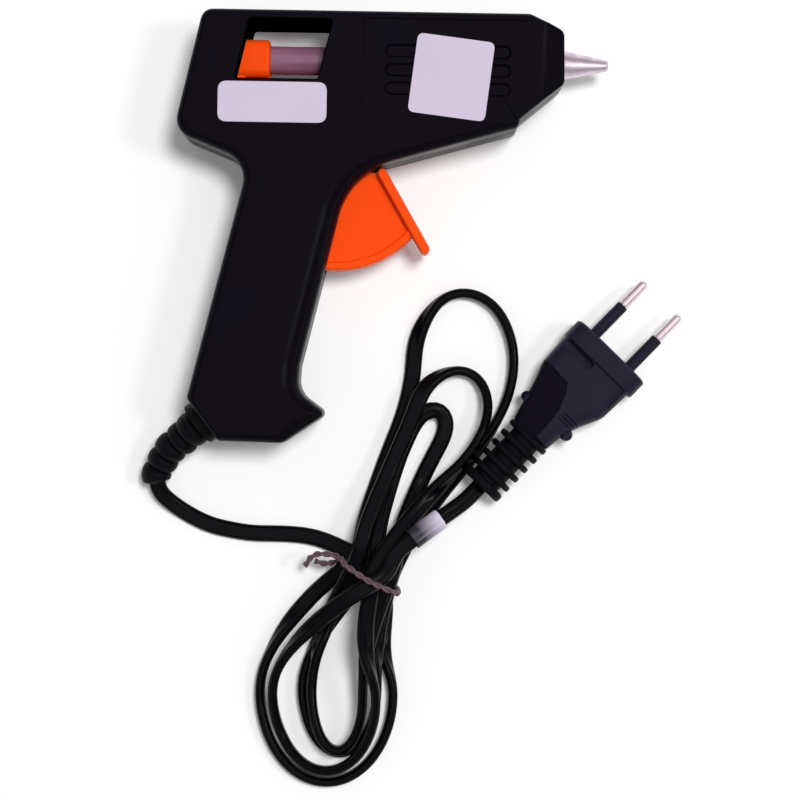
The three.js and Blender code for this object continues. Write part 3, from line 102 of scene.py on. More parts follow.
# A moulded plastic: slow patches in colour and gloss over an erosion grain, given by width in mm and bump
def mouldedPlastic(name, colour, patch, roughness, grain, bump, specular=0.5):
    material, tree = newMaterial(name)
    place = addNode(tree, "ShaderNodeTexCoord").outputs["Object"]
    fine = addNode(tree, "ShaderNodeTexNoise",
                   {"Scale": 1 / (grain * mm), "Detail": 4.0, "Roughness": 0.6, "Vector": place})
    slow = addNode(tree, "ShaderNodeTexNoise", {"Scale": 1 / (22 * mm), "Detail": 3.0, "Vector": place})
    sheen = addNode(tree, "ShaderNodeMapRange", {"From Min": 0.3, "From Max": 0.7, "To Min": roughness - 0.05,
                                                 "To Max": roughness + 0.07, "Value": slow})
    relief = addNode(tree, "ShaderNodeBump", {"Strength": bump, "Distance": 0.05 * mm, "Height": fine})
    return twoTone(material, colour, patch, slow,
                   {"IOR": 1.53, "Specular IOR Level": specular, "Roughness": sheen, "Normal": relief})


# Turned aluminium: rings of the lathe tool along the bore, and cast specks that glitter
def turnedAluminium():
    material, tree = newMaterial("turnedAluminium")
    place = addNode(tree, "ShaderNodeTexCoord").outputs["Object"]
    feed = 0.9 * mm
    tool = addNode(tree, "ShaderNodeTexWave", {"wave_type": "BANDS", "bands_direction": "X",
                                               "Scale": 1 / feed / 6.283, "Distortion": 1.2, "Vector": place})
    stain = addNode(tree, "ShaderNodeTexNoise", {"Scale": 1 / (2.2 * mm), "Detail": 5.0, "Vector": place})
    speck = addNode(tree, "ShaderNodeTexNoise", {"Scale": 1 / (0.35 * mm), "Detail": 2.0, "Vector": place})
    sheen = addNode(tree, "ShaderNodeMapRange", {"To Min": 0.3, "To Max": 0.5, "Value": stain})
    turning = addNode(tree, "ShaderNodeBump",
                      {"Strength": 0.25, "Distance": 0.03 * mm, "Height": tool.outputs["Fac"]})
    relief = addNode(tree, "ShaderNodeBump",
                     {"Strength": 0.5, "Distance": 0.04 * mm, "Height": speck, "Normal": turning})
    return twoTone(material, "FBECF5", "BFAABB", stain,
                   {"Metallic": 1.0, "Roughness": sheen, "Normal": relief})


# Bright plate on metal: faint clouding
def platedMetal(name, bright, dull, low, high):
    material, tree = newMaterial(name)
    place = addNode(tree, "ShaderNodeTexCoord").outputs["Object"]
    cloud = addNode(tree, "ShaderNodeTexNoise", {"Scale": 1 / (1.5 * mm), "Detail": 4.0, "Vector": place})
    sheen = addNode(tree, "ShaderNodeMapRange", {"To Min": low, "To Max": high, "Value": cloud})
    return twoTone(material, bright, dull, cloud, {"Metallic": 1.0, "Roughness": sheen})


# Hot melt stick: milky and translucent, with flow streaks along it
def hotMelt():
    material, tree = newMaterial("hotMeltStick")
    place = addNode(tree, "ShaderNodeTexCoord").outputs["Object"]
    drawn = addNode(tree, "ShaderNodeMapping", {"Scale": (0.12, 1, 1), "Vector": place})
    streak = addNode(tree, "ShaderNodeTexNoise", {"Scale": 1 / (1.1 * mm), "Detail": 3.0, "Vector": drawn})
    return twoTone(material, "86586F", "A0728B", streak,
                   {"Roughness": 0.28, "IOR": 1.48, "Subsurface Weight": 0.6, "Subsurface Scale": 2.5 * mm,
                    "Subsurface Radius": (1.0, 0.7, 0.8)})


# Heat shrink sleeve: thin milky film whose colour runs from dark at the end towards the hank to pale at the
# other end, a painted reflection along it
def shrinkFilm():
    material, tree = newMaterial("milkyShrinkFilm")
    run = addNode(tree, "ShaderNodeAttribute", {"attribute_name": "sleeveRun"})
    place = addNode(tree, "ShaderNodeTexCoord").outputs["Object"]
    crease = addNode(tree, "ShaderNodeTexNoise", {"Scale": 1 / (1.6 * mm), "Detail": 3.0, "Vector": place})
    # the run along the sleeve sets the painted reflection: dark at the end towards the hank, pale at the
    # other
    paintedReflection = addNode(tree, "ShaderNodeMapRange",
                    {"From Min": 0.25, "From Max": 1.0, "Value": run.outputs["Fac"]})
    relief = addNode(tree, "ShaderNodeBump", {"Strength": 0.3, "Distance": 0.06 * mm, "Height": crease})
    return twoTone(material, "1E1A26", "D6CCE2", paintedReflection, {"Roughness": 0.3, "IOR": 1.5, "Normal": relief})


# ABS moulded in an eroded tool: near black with a violet cast, a satin sheen at the edges
mouldedAbs = mouldedPlastic("mouldedAbsHousing", "07040A", "0C0812", 0.32, 0.6, 0.12, 0.05)
# the same inside the window, dull and a shade darker, a copy painted as shade so that its walls stay black
windowShadeAbs = mouldedPlastic("shadedAbsInWindow", "050307", "08060B", 0.9, 0.6, 0.12, 0.0)
# ABS from a smooth tool: even, strong orange with a soft gloss
orangeAbs = mouldedPlastic("orangeAbs", "FF4600", "FF5204", 0.36, 0.8, 0.06, 0.22)
# extruded soft PVC: black, smooth, thin glints along the cores
flexPvc = mouldedPlastic("flexiblePvcCord", "040306", "07060A", 0.26, 0.9, 0.06, 0.08)
# PVC moulded on: dark slate and dull, black on the ribs; the slope beside the ridge takes a duller copy
# painted darker as shade
plugPvc = mouldedPlastic("mouldedPvcPlug", "1A1726", "231F30", 0.45, 0.5, 0.16, 0.12)
slopeShadePvc = mouldedPlastic("paintedShadeSlopePvc", "0C0914", "120E1B", 0.6, 0.4, 0.2, 0.06)
bootPvc = mouldedPlastic("mouldedPvcStrainRelief", "050408", "0A080D", 0.5, 0.5, 0.14, 0.08)
# plain extruded vinyl, brown, on the cores and on the tie's wires
coreVinyl = mouldedPlastic("brownCoreVinyl", "6A4A36", "7A563F", 0.45, 0.8, 0.1)
tieVinyl = mouldedPlastic("brownTieVinyl", "4E3640", "6B505C", 0.42, 0.4, 0.2)
# cured rubber and fired ceramic in the heater: red brown and soft, pale and dry
siliconeRubber = mouldedPlastic("redSiliconeRubber", "8A2F22", "9A3A2B", 0.55, 0.5, 0.15)
firedCeramic = mouldedPlastic("firedCeramic", "CFC8B8", "BDB5A4", 0.6, 0.3, 0.25)
# laminated paper: pale lilac, flat, a faint satin film
stickerFilm = mouldedPlastic("satinStickerFilm", "D3C7DB", "CCBFD5", 0.45, 1.2, 0.04, 0.4)
latheAluminium = turnedAluminium()
# zinc on steel is grey and cloudy, nickel on the pins warm and bright
zincSteel = platedMetal("zincPlatedSteel", "B9B7BE", "8F8D97", 0.25, 0.42)
nickelBrass = platedMetal("nickelPlatedPin", "FFF0F3", "EAD8DE", 0.34, 0.46)
meltStick = hotMelt()
sleeveFilm = shrinkFilm()

slotLook = {
    "housing": mouldedAbs, "orange": orangeAbs, "aluminium": latheAluminium, "steel": zincSteel,
    "ceramic": firedCeramic, "silicone": siliconeRubber, "glue": meltStick, "cord": flexPvc,
    "core": coreVinyl, "tie": tieVinyl, "plug": plugPvc, "label": stickerFilm,
}
slotOf = {part["node"]: part["material_slot"] for part in frame["record"]["subparts"]}
print("materials made")

# Camera straight above, a little turned, as the photograph was taken
view = {"place": (17.06, -58.66, 620), "turn": 0.965, "lens": 107.2, "sensor": 36}
camera = bpy.data.cameras.new("cameraAbove")
camera.lens = view["lens"]
camera.sensor_width = view["sensor"]
camera.clip_end = 20
cameraObject = linked("cameraAbove", camera)
cameraObject.location = Vector(view["place"]) * mm
cameraObject.rotation_euler = (0, 0, math.radians(view["turn"]))
scene.camera = cameraObject

# A soft lamp overhead, a little to the upper right, gives the shadow; a weak one further off the glints.
# With the room they light a level surface to its written colour
lamps = {"softLampAbove": {"place": (450, 336, 2200), "size": 540, "watts": 34.5, "glints": False},
         "glintLamp": {"place": (1550, 75, 2200), "size": 420, "watts": 9.5, "glints": True}}
lampAim = (10, -60, 0)
for name, lamp in lamps.items():
    light = bpy.data.lights.new(name, "AREA")
    light.shape = "DISK"
    light.size = lamp["size"] * mm
    light.energy = lamp["watts"]
    lampObject = linked(name, light)
    lampObject.location = Vector(lamp["place"]) * mm
    aim = (Vector(lampAim) * mm - lampObject.location).normalized()
    lampObject.rotation_euler = aim.to_track_quat("-Z", "Y").to_euler()
    lampObject.visible_glossy = lamp["glints"]


def seenOrMirrored(tree):
    # 1 on rays from the camera, straight or by way of metal or glass
    path = addNode(tree, "ShaderNodeLightPath").outputs
    mirrored = addNode(tree, "ShaderNodeMath",
                       {"operation": "MAXIMUM", 0: path["Is Glossy Ray"], 1: path["Is Transmission Ray"]})
    return addNode(tree, "ShaderNodeMath", {"operation": "MAXIMUM", 0: path["Is Camera Ray"], 1: mirrored})


# The room as seen or mirrored: white horizon, grey walls, bright ceiling, as height of a direction, strength
room = {"onObject": 0.26,
        "steps": [(0.0, 1.0), (0.12, 1.0), (0.3, 0.3), (0.68, 0.3), (0.9, 1.0), (1.0, 1.0)]}
world = bpy.data.worlds.new("paleRoom")
world.use_nodes = True
scene.world = world
sky = world.node_tree
sky.nodes.clear()
seen = seenOrMirrored(sky)
direction = addNode(sky, "ShaderNodeTexCoord")
parts = addNode(sky, "ShaderNodeSeparateXYZ", {"Vector": direction.outputs["Generated"]})
height = addNode(sky, "ShaderNodeValToRGB", {"Fac": parts.outputs["Z"]})
ramp = height.color_ramp.elements
ramp[0].position, ramp[1].position = room["steps"][0][0], room["steps"][-1][0]
for position, _ in room["steps"][1:-1]:
    ramp.new(position)
for element, (_, strength) in zip(ramp, room["steps"]):
    element.color = (strength, strength, strength, 1)
level = addNode(sky, "ShaderNodeMix",
                {"data_type": "FLOAT", "A": room["onObject"], "Factor": seen, "B": height})
glow = addNode(sky, "ShaderNodeBackground", {"Color": (1, 1, 1, 1), "Strength": level})
addNode(sky, "ShaderNodeOutputWorld", {"Surface": glow})

floor = {"half": 1.6, "colour": "F7F7F7", "glow": 0.1}
half = floor["half"]
floorMesh = bpy.data.meshes.new("paleFloor")
floorMesh.from_pydata([(-half, -half, 0), (half, -half, 0), (half, half, 0), (-half, half, 0)], [],
                      [(0, 1, 2, 3)])
floorObject = linked("paleFloor", floorMesh)
floorLook, tree = newMaterial("paleFloorPaint")
seen = seenOrMirrored(tree)
matt = addNode(tree, "ShaderNodeBsdfDiffuse", {"Color": tone(floor["colour"])})
shine = addNode(tree, "ShaderNodeEmission", {"Color": (1, 1, 1, 1), "Strength": floor["glow"]})
both = addNode(tree, "ShaderNodeAddShader", {0: matt, 1: shine})
lit = addNode(tree, "ShaderNodeMixShader", {0: seen, 1: matt, 2: both})
floorMesh.materials.append(finishWith(floorLook, lit))
scene.view_settings.view_transform = "Standard"
print("camera, lamps and floor set")


# Curves through chosen places, as the cord's route is drawn

def clamped(value):
    return min(max(value, 0), 1)


def smoothStep(value, low, high):
    share = clamped((value - low) / (high - low))
    return share * share * (3 - 2 * share)


def flat(places):
    return [Vector((x, y, 0)) for x, y in places]


def splinePoint(points, t):
    # uniform Catmull-Rom over the whole list, t from 0 to 1
    spans = len(points) - 1
    at = clamped(t) * spans
    i = min(int(at), spans - 1)
    u = at - i
    b, c = points[i], points[i + 1]
    a = points[i - 1] if i > 0 else 2 * b - c
    d = points[i + 2] if i + 2 <= spans else 2 * c - b
    v0, v1 = (c - a) * 0.5, (d - b) * 0.5
    return b + v0 * u + (3 * (c - b) - 2 * v0 - v1) * u ** 2 + (2 * (b - c) + v0 + v1) * u ** 3


def runOf(points):
    run = [0.0]
    for before, after in zip(points, points[1:]):
        run.append(run[-1] + (after - before).length)
    return run


def equalSteps(points, count, rolls=None):
    # a polyline cut into equal lengths, with the rolls there
    rolls = rolls or [0.0] * len(points)
    run = runOf(points)
    places, turns = [], []
    i = 0
    for k in range(count + 1):
        want = run[-1] * k / count
        while i + 2 < len(run) and run[i + 1] < want:
            i += 1
        share = clamped((want - run[i]) / max(run[i + 1] - run[i], 1e-9))
        places.append(points[i].lerp(points[i + 1], share))
        turns.append(rolls[i] + (rolls[i + 1] - rolls[i]) * share)
    return places, turns


def evenPoints(points, count, detail=60):
    # the spline through the points, cut into equal lengths
    last = detail * (len(points) - 1)
    return equalSteps([splinePoint(points, k / last) for k in range(last + 1)], count)[0]


def eased(values, rounds):
    # each value moves to the middle of its neighbours, the ends stay
    for _ in range(rounds):
        inner = [values[i] * 0.5 + (values[i - 1] + values[i + 1]) * 0.25 for i in range(1, len(values) - 1)]
        values = [values[0]] + inner + [values[-1]]
    return values


# The flat twin cord, millimetres here: lead, hank of folded loops, tail and plug

flatCord = {"width": 4.3, "thickness": 2.5, "lie": 0.05, "groove": 0.14, "shoulder": 0.45, "step": 1.3,
            "placeRounds": 3, "rollRounds": 6}
plugPlace = {"front": Vector((71.2, -45.3, 7.05)), "axis": Vector((-0.688, -0.726, 0)).normalized(),
             "length": 48.5}
sleeve = {"from": 3, "to": 8, "within": 60, "clear": 0.35, "wall": 0.25, "groove": 0.1, "steps": 24}
# Places under and over the waist, then how strands lie on one another; down and up tell where each loop
# passes the waist, in pitches
hank = {
    "start": (-0.2, -96.1),
    "underWaist": [(4.4, -98.1), (7.2, -99.6), (9.9, -101.8), (12.6, -105.8), (14.2, -111.4)],
    "overBundle": [(18.9, -95.6), (23.6, -91.9), (28.6, -88.3)], "pitch": 4.75, "side": 0.3, "above": 0.55,
    "slope": 0.35, "apart": 12, "startSteps": 15, "sideSteps": 27, "skipped": 7, "tailSteps": 16, "rounds": 8,
    "tieRoom": 1.45, "tieNear": (1.4, 2.4), "down": (1, 1, 1, 0), "up": (-1, 0, -1, 0.7),
    "rollEarly": (0.2, 0.42), "rollLate": (0.5, 0.95), "overEnd": 0.3, "plugGap": 0.6,
}
spinePoints = flat([
    (1.36, -158.1), (1.05, -139.5), (0.9, -132.5), (1.9, -124.4), (4.2, -116.6), (7.5, -109.1),
    (11.3, -101.5), (15.0, -92.4), (20.1, -83.2), (24.1, -76.1), (27.9, -69.3), (31.1, -61.8),
    (33.3, -51.9), (33.1, -40.5), (31.6, -29.7)])
waistKnot = 6
# reach, half width, shift, belly share, early share on the left and on the right
lowerLoops = [(58.5, 17.3, -1.6, 0.6, 0.7, 0.7), (51, 9.7, 1.8, 0.66, 0.7, 0.7),
              (50, 6.6, 1.3, 0.7, 0.7, 0.7), (55, 13.45, -2.05, 0.64, 0.7, 0.7)]
upperLoops = [(76, 13, 0, 0.76, 1, 0.3), (44, 4.2, -4.2, 0.84, 0.8, 0.8), (55.8, 9.1, -0.7, 0.8, 0.8, 0.7)]
flatLoop, flatShare = upperLoops[1], 0.12  # this loop hardly rolls on its edge

spineCount = 560
spineEven = evenPoints(spinePoints, spineCount)
spineRun = runOf(spineEven)
waistAt = min(range(spineCount + 1), key=lambda i: (spineEven[i] - spinePoints[waistKnot]).length)


def beside(along, lateral):
    # a place at a distance along the spine from the waist, and to its right
    share = min(max(spineRun[waistAt] + along, 0), spineRun[-1]) / spineRun[-1] * spineCount
    i = min(int(share), spineCount - 1)
    point = spineEven[i].lerp(spineEven[i + 1], share - i)
    ahead = (spineEven[min(i + 2, spineCount)] - spineEven[max(i - 1, 0)]).normalized()
    return Vector((point.x + ahead.y * lateral, point.y - ahead.x * lateral, 0))


def loopSide(loop, direction, side, waistOffset):
    # one side of a loop from the waist to its tip: places, and rolls that stand the cord on its edge
    reach, halfWidth, shift, belly, leftShare, rightShare = loop
    early = leftShare if side < 0 else rightShare
    rollFrom, rollTo = hank["rollLate" if direction > 0 and side < 0 else "rollEarly"]
    places = []
    for k in range(hank["sideSteps"] + 1):
        share = k / hank["sideSteps"]
        if share < 0.5:
            along = belly * 2 * share
            rise = math.sin(math.pi * share)
            swell = early * rise + (1 - early) * rise ** 6
            lateral = waistOffset + (side * halfWidth - waistOffset) * swell
        else:
            angle = (2 * share - 1) * math.pi / 2
            along = belly + (1 - belly) * math.sin(angle)
            lateral = side * halfWidth * math.cos(angle)
        drift = shift * math.sin(math.pi / 2 * min(along / belly, 1))
        roll = math.pi / 2 * smoothStep(share, rollFrom, rollTo) * (flatShare if loop is flatLoop else 1)
        places.append((beside(direction * along * reach, lateral + drift), roll))
    return places


def cordPlan():
    # hank from its start under the waist to its end over it, then the tail; returns places and rolls
    down, up = ([share * hank["pitch"] for share in hank[key]] for key in ("down", "up"))
    start = evenPoints(flat([hank["start"]] + hank["underWaist"]), hank["startSteps"])
    places = [(point, 0.0) for point in start]
    for i, loop in enumerate(lowerLoops):
        places += loopSide(loop, -1, 1, down[i])[hank["skipped"] if i == 0 else 1:]
        places += loopSide(loop, -1, -1, up[i])[::-1][1:]
        if i < len(upperLoops):
            places += loopSide(upperLoops[i], 1, -1, up[i])[1:]
            places += loopSide(upperLoops[i], 1, 1, down[i + 1])[::-1][1:]
    out = places[-1][0]
    ahead = (beside(1, 0) - beside(0, 0)).normalized()
    end = out + ahead * (flatCord["width"] + hank["overEnd"])
    places += [(out + ahead * flatCord["thickness"], 0.0), (end, 0.0)]
    ahead = (end - places[-2][0]).normalized()
    plugEnd = plugPlace["front"] + plugPlace["axis"] * (plugPlace["length"] + hank["plugGap"])
    flatEnd = Vector((plugEnd.x, plugEnd.y, 0))
    tail = [end, end + ahead * flatCord["thickness"], *flat(hank["overBundle"]),
            flatEnd + plugPlace["axis"] * flatCord["width"], flatEnd]
    return places + [(point, 0.0) for point in evenPoints(tail, hank["tailSteps"])[1:]], len(places)


def halfHeight(roll, flatSize="thickness", edgeSize="width"):
    return (flatCord[flatSize] * abs(math.cos(roll)) + flatCord[edgeSize] * abs(math.sin(roll))) / 2


def settle(places, hankCount):
    # each place rests on the floor or above the strands laid before it, with room for the sleeve
    count = len(places)
    points, rolls = zip(*places)
    run = runOf(points)
    sleeved = range(hankCount + sleeve["from"], hankCount + sleeve["to"] + 1)
    extra = [sleeve["clear"] + sleeve["wall"] if i in sleeved else 0 for i in range(count)]
    wide = [halfHeight(roll, "width", "thickness") + more for roll, more in zip(rolls, extra)]
    high = [halfHeight(roll) + more for roll, more in zip(rolls, extra)]
    waist = beside(0, 0)
    nearest, furthest = (share * hank["pitch"] for share in hank["tieNear"])
    heights = []
    for i in range(count):
        near = 1 - smoothStep((points[i] - waist).length, nearest, furthest)
        heights.append(flatCord["lie"] + high[i] + near * hank["tieRoom"])
    heights[0] = flatCord["lie"] + flatCord["thickness"] / 2
    heights[-1] = heights[-2] = plugPlace["front"].z
    crossings = [(i, j, high[i] + high[j] + hank["above"]) for i in range(count) for j in range(i)
                 if run[i] - run[j] > hank["apart"]
                 and (points[i] - points[j]).length < wide[i] + wide[j] + hank["side"]]
    for _ in range(hank["rounds"]):
        for i, j, clear in crossings:
            heights[i] = max(heights[i], heights[j] + clear)
        for i in range(1, count):
            heights[i] = max(heights[i], heights[i - 1] - hank["slope"] * (run[i] - run[i - 1]))
        for i in range(count - 2, 0, -1):
            heights[i] = max(heights[i], heights[i + 1] - hank["slope"] * (run[i + 1] - run[i]))
    return [(Vector((point.x, point.y, z)), roll) for (point, roll), z in zip(places, heights)]


plannedPlaces, hankCount = cordPlan()
settledPlaces = settle(plannedPlaces, hankCount)

# The lead's places, listed from inside the strain relief to the hank
lying = flatCord["lie"] + flatCord["thickness"] / 2
lead = {"places": [(-45.45, -78.6, 5.2), (-45.42, -80.6, 4.6), (-45.1, -82.5, 3.95), (-43.9, -84.4, 3.2),
                   (-41.6, -86.3, 2.3), (-38.2, -88.7, lying), (-33.5, -91.1, lying), (-29.6, -92.4, lying),
                   (-21.3, -93.8, lying), (-15.5, -93.85, lying), (-10.5, -93.95, lying),
                   (-6.2, -94.35, lying)],
        "beforeHank": Vector((-2.7, 1.0, 0)), "steps": 40, "intoPlug": 3}
leadPlaces = [Vector(place) for place in lead["places"]] + [settledPlaces[0][0] + lead["beforeHank"]]
leadPoints = evenPoints(leadPlaces, lead["steps"])
intoPlug = plugPlace["front"] + plugPlace["axis"] * (plugPlace["length"] - lead["intoPlug"])
cordPoints = leadPoints + [place for place, _ in settledPlaces] + [intoPlug]
cordRolls = [0.0] * len(leadPoints) + [roll for _, roll in settledPlaces] + [0.0]

cordSteps = int(runOf(cordPoints)[-1] / flatCord["step"])
cordPoints, cordRolls = equalSteps(cordPoints, cordSteps, cordRolls)
cordPoints, cordRolls = eased(cordPoints, flatCord["placeRounds"]), eased(cordRolls, flatCord["rollRounds"])
for point, roll in zip(cordPoints, cordRolls):
    point.z = max(point.z, flatCord["lie"] + halfHeight(roll))
cordMetres = [point * mm for point in cordPoints]
cordLength = runOf(cordMetres)[-1]
print("cord route", round(cordLength, 4), "m, highest", round(max(p.z for p in cordPoints), 1), "mm")


# Meshes in millimetres, and how they become pieces

def evaluated(thing):
    graph = bpy.context.evaluated_depsgraph_get()
    mesh = bpy.data.meshes.new_from_object(thing.evaluated_get(graph), depsgraph=graph)
    bpy.data.objects.remove(thing)
    return mesh


def facedOut(shape, mesh):
    bmesh.ops.recalc_face_normals(shape, faces=shape.faces)
    shape.to_mesh(mesh)
    shape.free()
    return mesh


def skinOver(rings, closedLoop=False):
    # a closed skin over rings of equally many points
    shape = bmesh.new()
    rows = [[shape.verts.new(point) for point in ring] for ring in rings]
    size = len(rings[0])
    for low, high in zip(rows, rows[1:] + rows[:1] if closedLoop else rows[1:]):
        for k in range(size):
            after = (k + 1) % size
            shape.faces.new((low[k], low[after], high[after], high[k]))
    if not closedLoop:
        shape.faces.new(rows[0][::-1])
        shape.faces.new(rows[-1])
    return facedOut(shape, bpy.data.meshes.new("skin"))


def raised(outlines, heights):
    # a skin over outlines of (x, y), each at its height
    return skinOver([[Vector((x, y, z)) for x, y in points] for points, z in zip(outlines, heights)])


def prism(points, low, high):
    return raised([points, points], [low, high])


def rect(left, low, right, high):
    return [(left, low), (right, low), (right, high), (left, high)]


def boxBetween(x0, x1, y0, y1, z0, z1):
    return prism(rect(x0, y0, x1, y1), z0, z1)


def turned(start, end, profile, sides=48, hollow=False):
    # a profile of (distance from the start, radius) turned round the line from start to end
    start, ahead = Vector(start), (Vector(end) - Vector(start)).normalized()
    side = ahead.orthogonal().normalized()
    up = ahead.cross(side)
    angles = [2 * math.pi * k / sides for k in range(sides)]
    spokes = [side * math.cos(a) + up * math.sin(a) for a in angles]
    return skinOver([[start + ahead * distance + spoke * radius for spoke in spokes]
                     for distance, radius in profile], hollow)


def rod(start, end, radius, sides=32):
    length = (Vector(end) - Vector(start)).length
    return turned(start, end, [(0, radius), (length, radius)], sides)


def arcPoints(centre, radius, fromDegrees, toDegrees, steps):
    angles = [math.radians(fromDegrees + (toDegrees - fromDegrees) * k / steps) for k in range(steps + 1)]
    return [(centre[0] + radius * math.cos(a), centre[1] + radius * math.sin(a)) for a in angles]


def capsule(a, b, radius, steps=12):
    heading = math.degrees(math.atan2(b[1] - a[1], b[0] - a[0]))
    return (arcPoints(b, radius, heading - 90, heading + 90, steps)
            + arcPoints(a, radius, heading + 90, heading + 270, steps))


def roundedCorners(corners, radius, steps=5):
    # a polygon with every corner rounded
    points = []
    count = len(corners)
    for i in range(count):
        before, tip, after = (Vector(corners[(i + k) % count]) for k in (-1, 0, 1))
        back, ahead = (before - tip).normalized(), (after - tip).normalized()
        reach = radius / math.tan(back.angle(ahead) / 2)
        start, end = tip + back * reach, tip + ahead * reach
        for k in range(steps + 1):
            t = k / steps
            points.append(tuple(start * (1 - t) ** 2 + tip * 2 * t * (1 - t) + end * t ** 2))
    return points


def roundedEdge(radius, steps):
    # inset and distance from the end, step by step round an edge
    angles = [math.pi / 2 * k / steps for k in range(steps + 1)]
    return [(radius * (1 - math.sin(a)), radius * (1 - math.cos(a))) for a in angles]


def roundedSlab(outlineOf, low, high, rounding, steps=4):
    # outlineOf(inset) carried from low to high, both edges rounded
    edge = roundedEdge(rounding, steps)
    levels = [(inset, low + lift) for inset, lift in edge]
    levels += [(inset, high - lift) for inset, lift in edge[::-1]]
    return raised([outlineOf(inset) for inset, _ in levels], [z for _, z in levels])


def carved(base, steps):
    # other meshes joined to the base ("UNION"), cut away ("DIFFERENCE") or kept to ("INTERSECT")
    body = linked("carvedBase", base)
    helpers = []
    for action, mesh in steps:
        helpers.append(linked("carvingTool", mesh))
        modifier = body.modifiers.new(action, "BOOLEAN")
        modifier.operation = action
        modifier.object = helpers[-1]
        modifier.solver = "MANIFOLD"
    result = evaluated(body)
    for helper in helpers:
        bpy.data.objects.remove(helper)
    return result


def adding(*meshes):
    return [("UNION", mesh) for mesh in meshes]


def cutting(*meshes):
    return [("DIFFERENCE", mesh) for mesh in meshes]


def finished(name, mesh, body, slot, nodes, look=None, sharp=38):
    # millimetres to metres, smooth but for edges over the sharp angle, big faces shaded flat
    mesh.transform(Matrix.Scale(mm, 4))
    mesh.materials.clear()
    mesh.materials.append(look or slotLook[slot])
    mesh.shade_smooth()
    mesh.set_sharp_from_angle(angle=math.radians(sharp))
    raw = linked(name + "Raw", mesh)
    weigh = raw.modifiers.new("flatFaces", "WEIGHTED_NORMAL")
    weigh.keep_sharp = True
    piece = linked(name, evaluated(raw))
    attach(piece, body)
    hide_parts(*nodes)
    print(name, len(piece.data.polygons), "faces")
    return piece


def dressedPartly(piece, material, chosen):
    # faces in the first material that chosen() picks, by middle in mm and by normal, get another
    piece.data.materials.append(material)
    another = len(piece.data.materials) - 1
    for face in piece.data.polygons:
        if face.material_index == 0 and chosen(face.center / mm, face.normal):
            face.material_index = another


# Geometry Nodes trees of this gun, each with named inputs

def newTree(name, inputs):
    tree = bpy.data.node_groups.new(name, "GeometryNodeTree")
    tree.interface.new_socket("Geometry", in_out="INPUT", socket_type="NodeSocketGeometry")
    for label, (kind, value) in inputs.items():
        socket = tree.interface.new_socket(label, in_out="INPUT", socket_type="NodeSocket" + kind)
        if value is not None:
            socket.default_value = value
    tree.interface.new_socket("Material", in_out="INPUT", socket_type="NodeSocketMaterial")
    tree.interface.new_socket("Geometry", in_out="OUTPUT", socket_type="NodeSocketGeometry")
    return tree, addNode(tree, "NodeGroupInput").outputs


def endTree(tree, geometry, entry):
    # every tree ends in realized instances with their material
    real = addNode(tree, "GeometryNodeRealizeInstances", {"Geometry": geometry})
    dressed = addNode(tree, "GeometryNodeSetMaterial", {"Geometry": real, "Material": entry["Material"]})
    addNode(tree, "NodeGroupOutput", {"Geometry": dressed})
    return tree


def grown(mesh, tree, values):
    # runs a tree on a mesh, its inputs set by their identifiers, and returns the plain result
    source = linked("seed", mesh)
    modifier = source.modifiers.new(tree.name, "NODES")
    modifier.node_group = tree
    for item in tree.interface.items_tree:
        if item.in_out == "INPUT" and item.name in values:
            modifier[item.identifier] = values[item.name]
    result = evaluated(source)
    shape = bmesh.new()
    shape.from_mesh(result)
    return facedOut(shape, result)


def pathMesh(points):
    mesh = bpy.data.meshes.new("path")
    mesh.from_pydata([tuple(point) for point in points], [(k, k + 1) for k in range(len(points) - 1)], [])
    return mesh


def repeatTree():
    # copies of the seed in a row: grooves, fins, grip lines
    tree, entry = newTree("repeatInRow", {"Count": ("Int", 3), "Offset": ("Vector", (0, 0, 0))})
    line = addNode(tree, "GeometryNodeMeshLine", {"Count": entry["Count"], "Offset": entry["Offset"]})
    copies = addNode(tree, "GeometryNodeInstanceOnPoints", {"Points": line, "Instance": entry["Geometry"]})
    return endTree(tree, copies, entry)


def screwTree():
    # one fastener stands on every point of the seed
    tree, entry = newTree("fastenersOnPoints", {"Fastener": ("Object", None)})
    model = addNode(tree, "GeometryNodeObjectInfo", {"Object": entry["Fastener"]})
    copies = addNode(tree, "GeometryNodeInstanceOnPoints",
                     {"Points": entry["Geometry"], "Instance": model.outputs["Geometry"]})
    return endTree(tree, copies, entry)


def wireTree():
    # a round wire along the seed's path
    tree, entry = newTree("wireOnPath", {"Radius": ("Float", 0.35), "Sides": ("Int", 14)})
    path = addNode(tree, "GeometryNodeMeshToCurve", {"Mesh": entry["Geometry"]})
    ring = addNode(tree, "GeometryNodeCurvePrimitiveCircle",
                   {"Resolution": entry["Sides"], "Radius": entry["Radius"]})
    tube = addNode(tree, "GeometryNodeCurveToMesh", {"Fill Caps": True, "Curve": path, "Profile Curve": ring})
    return endTree(tree, tube, entry)


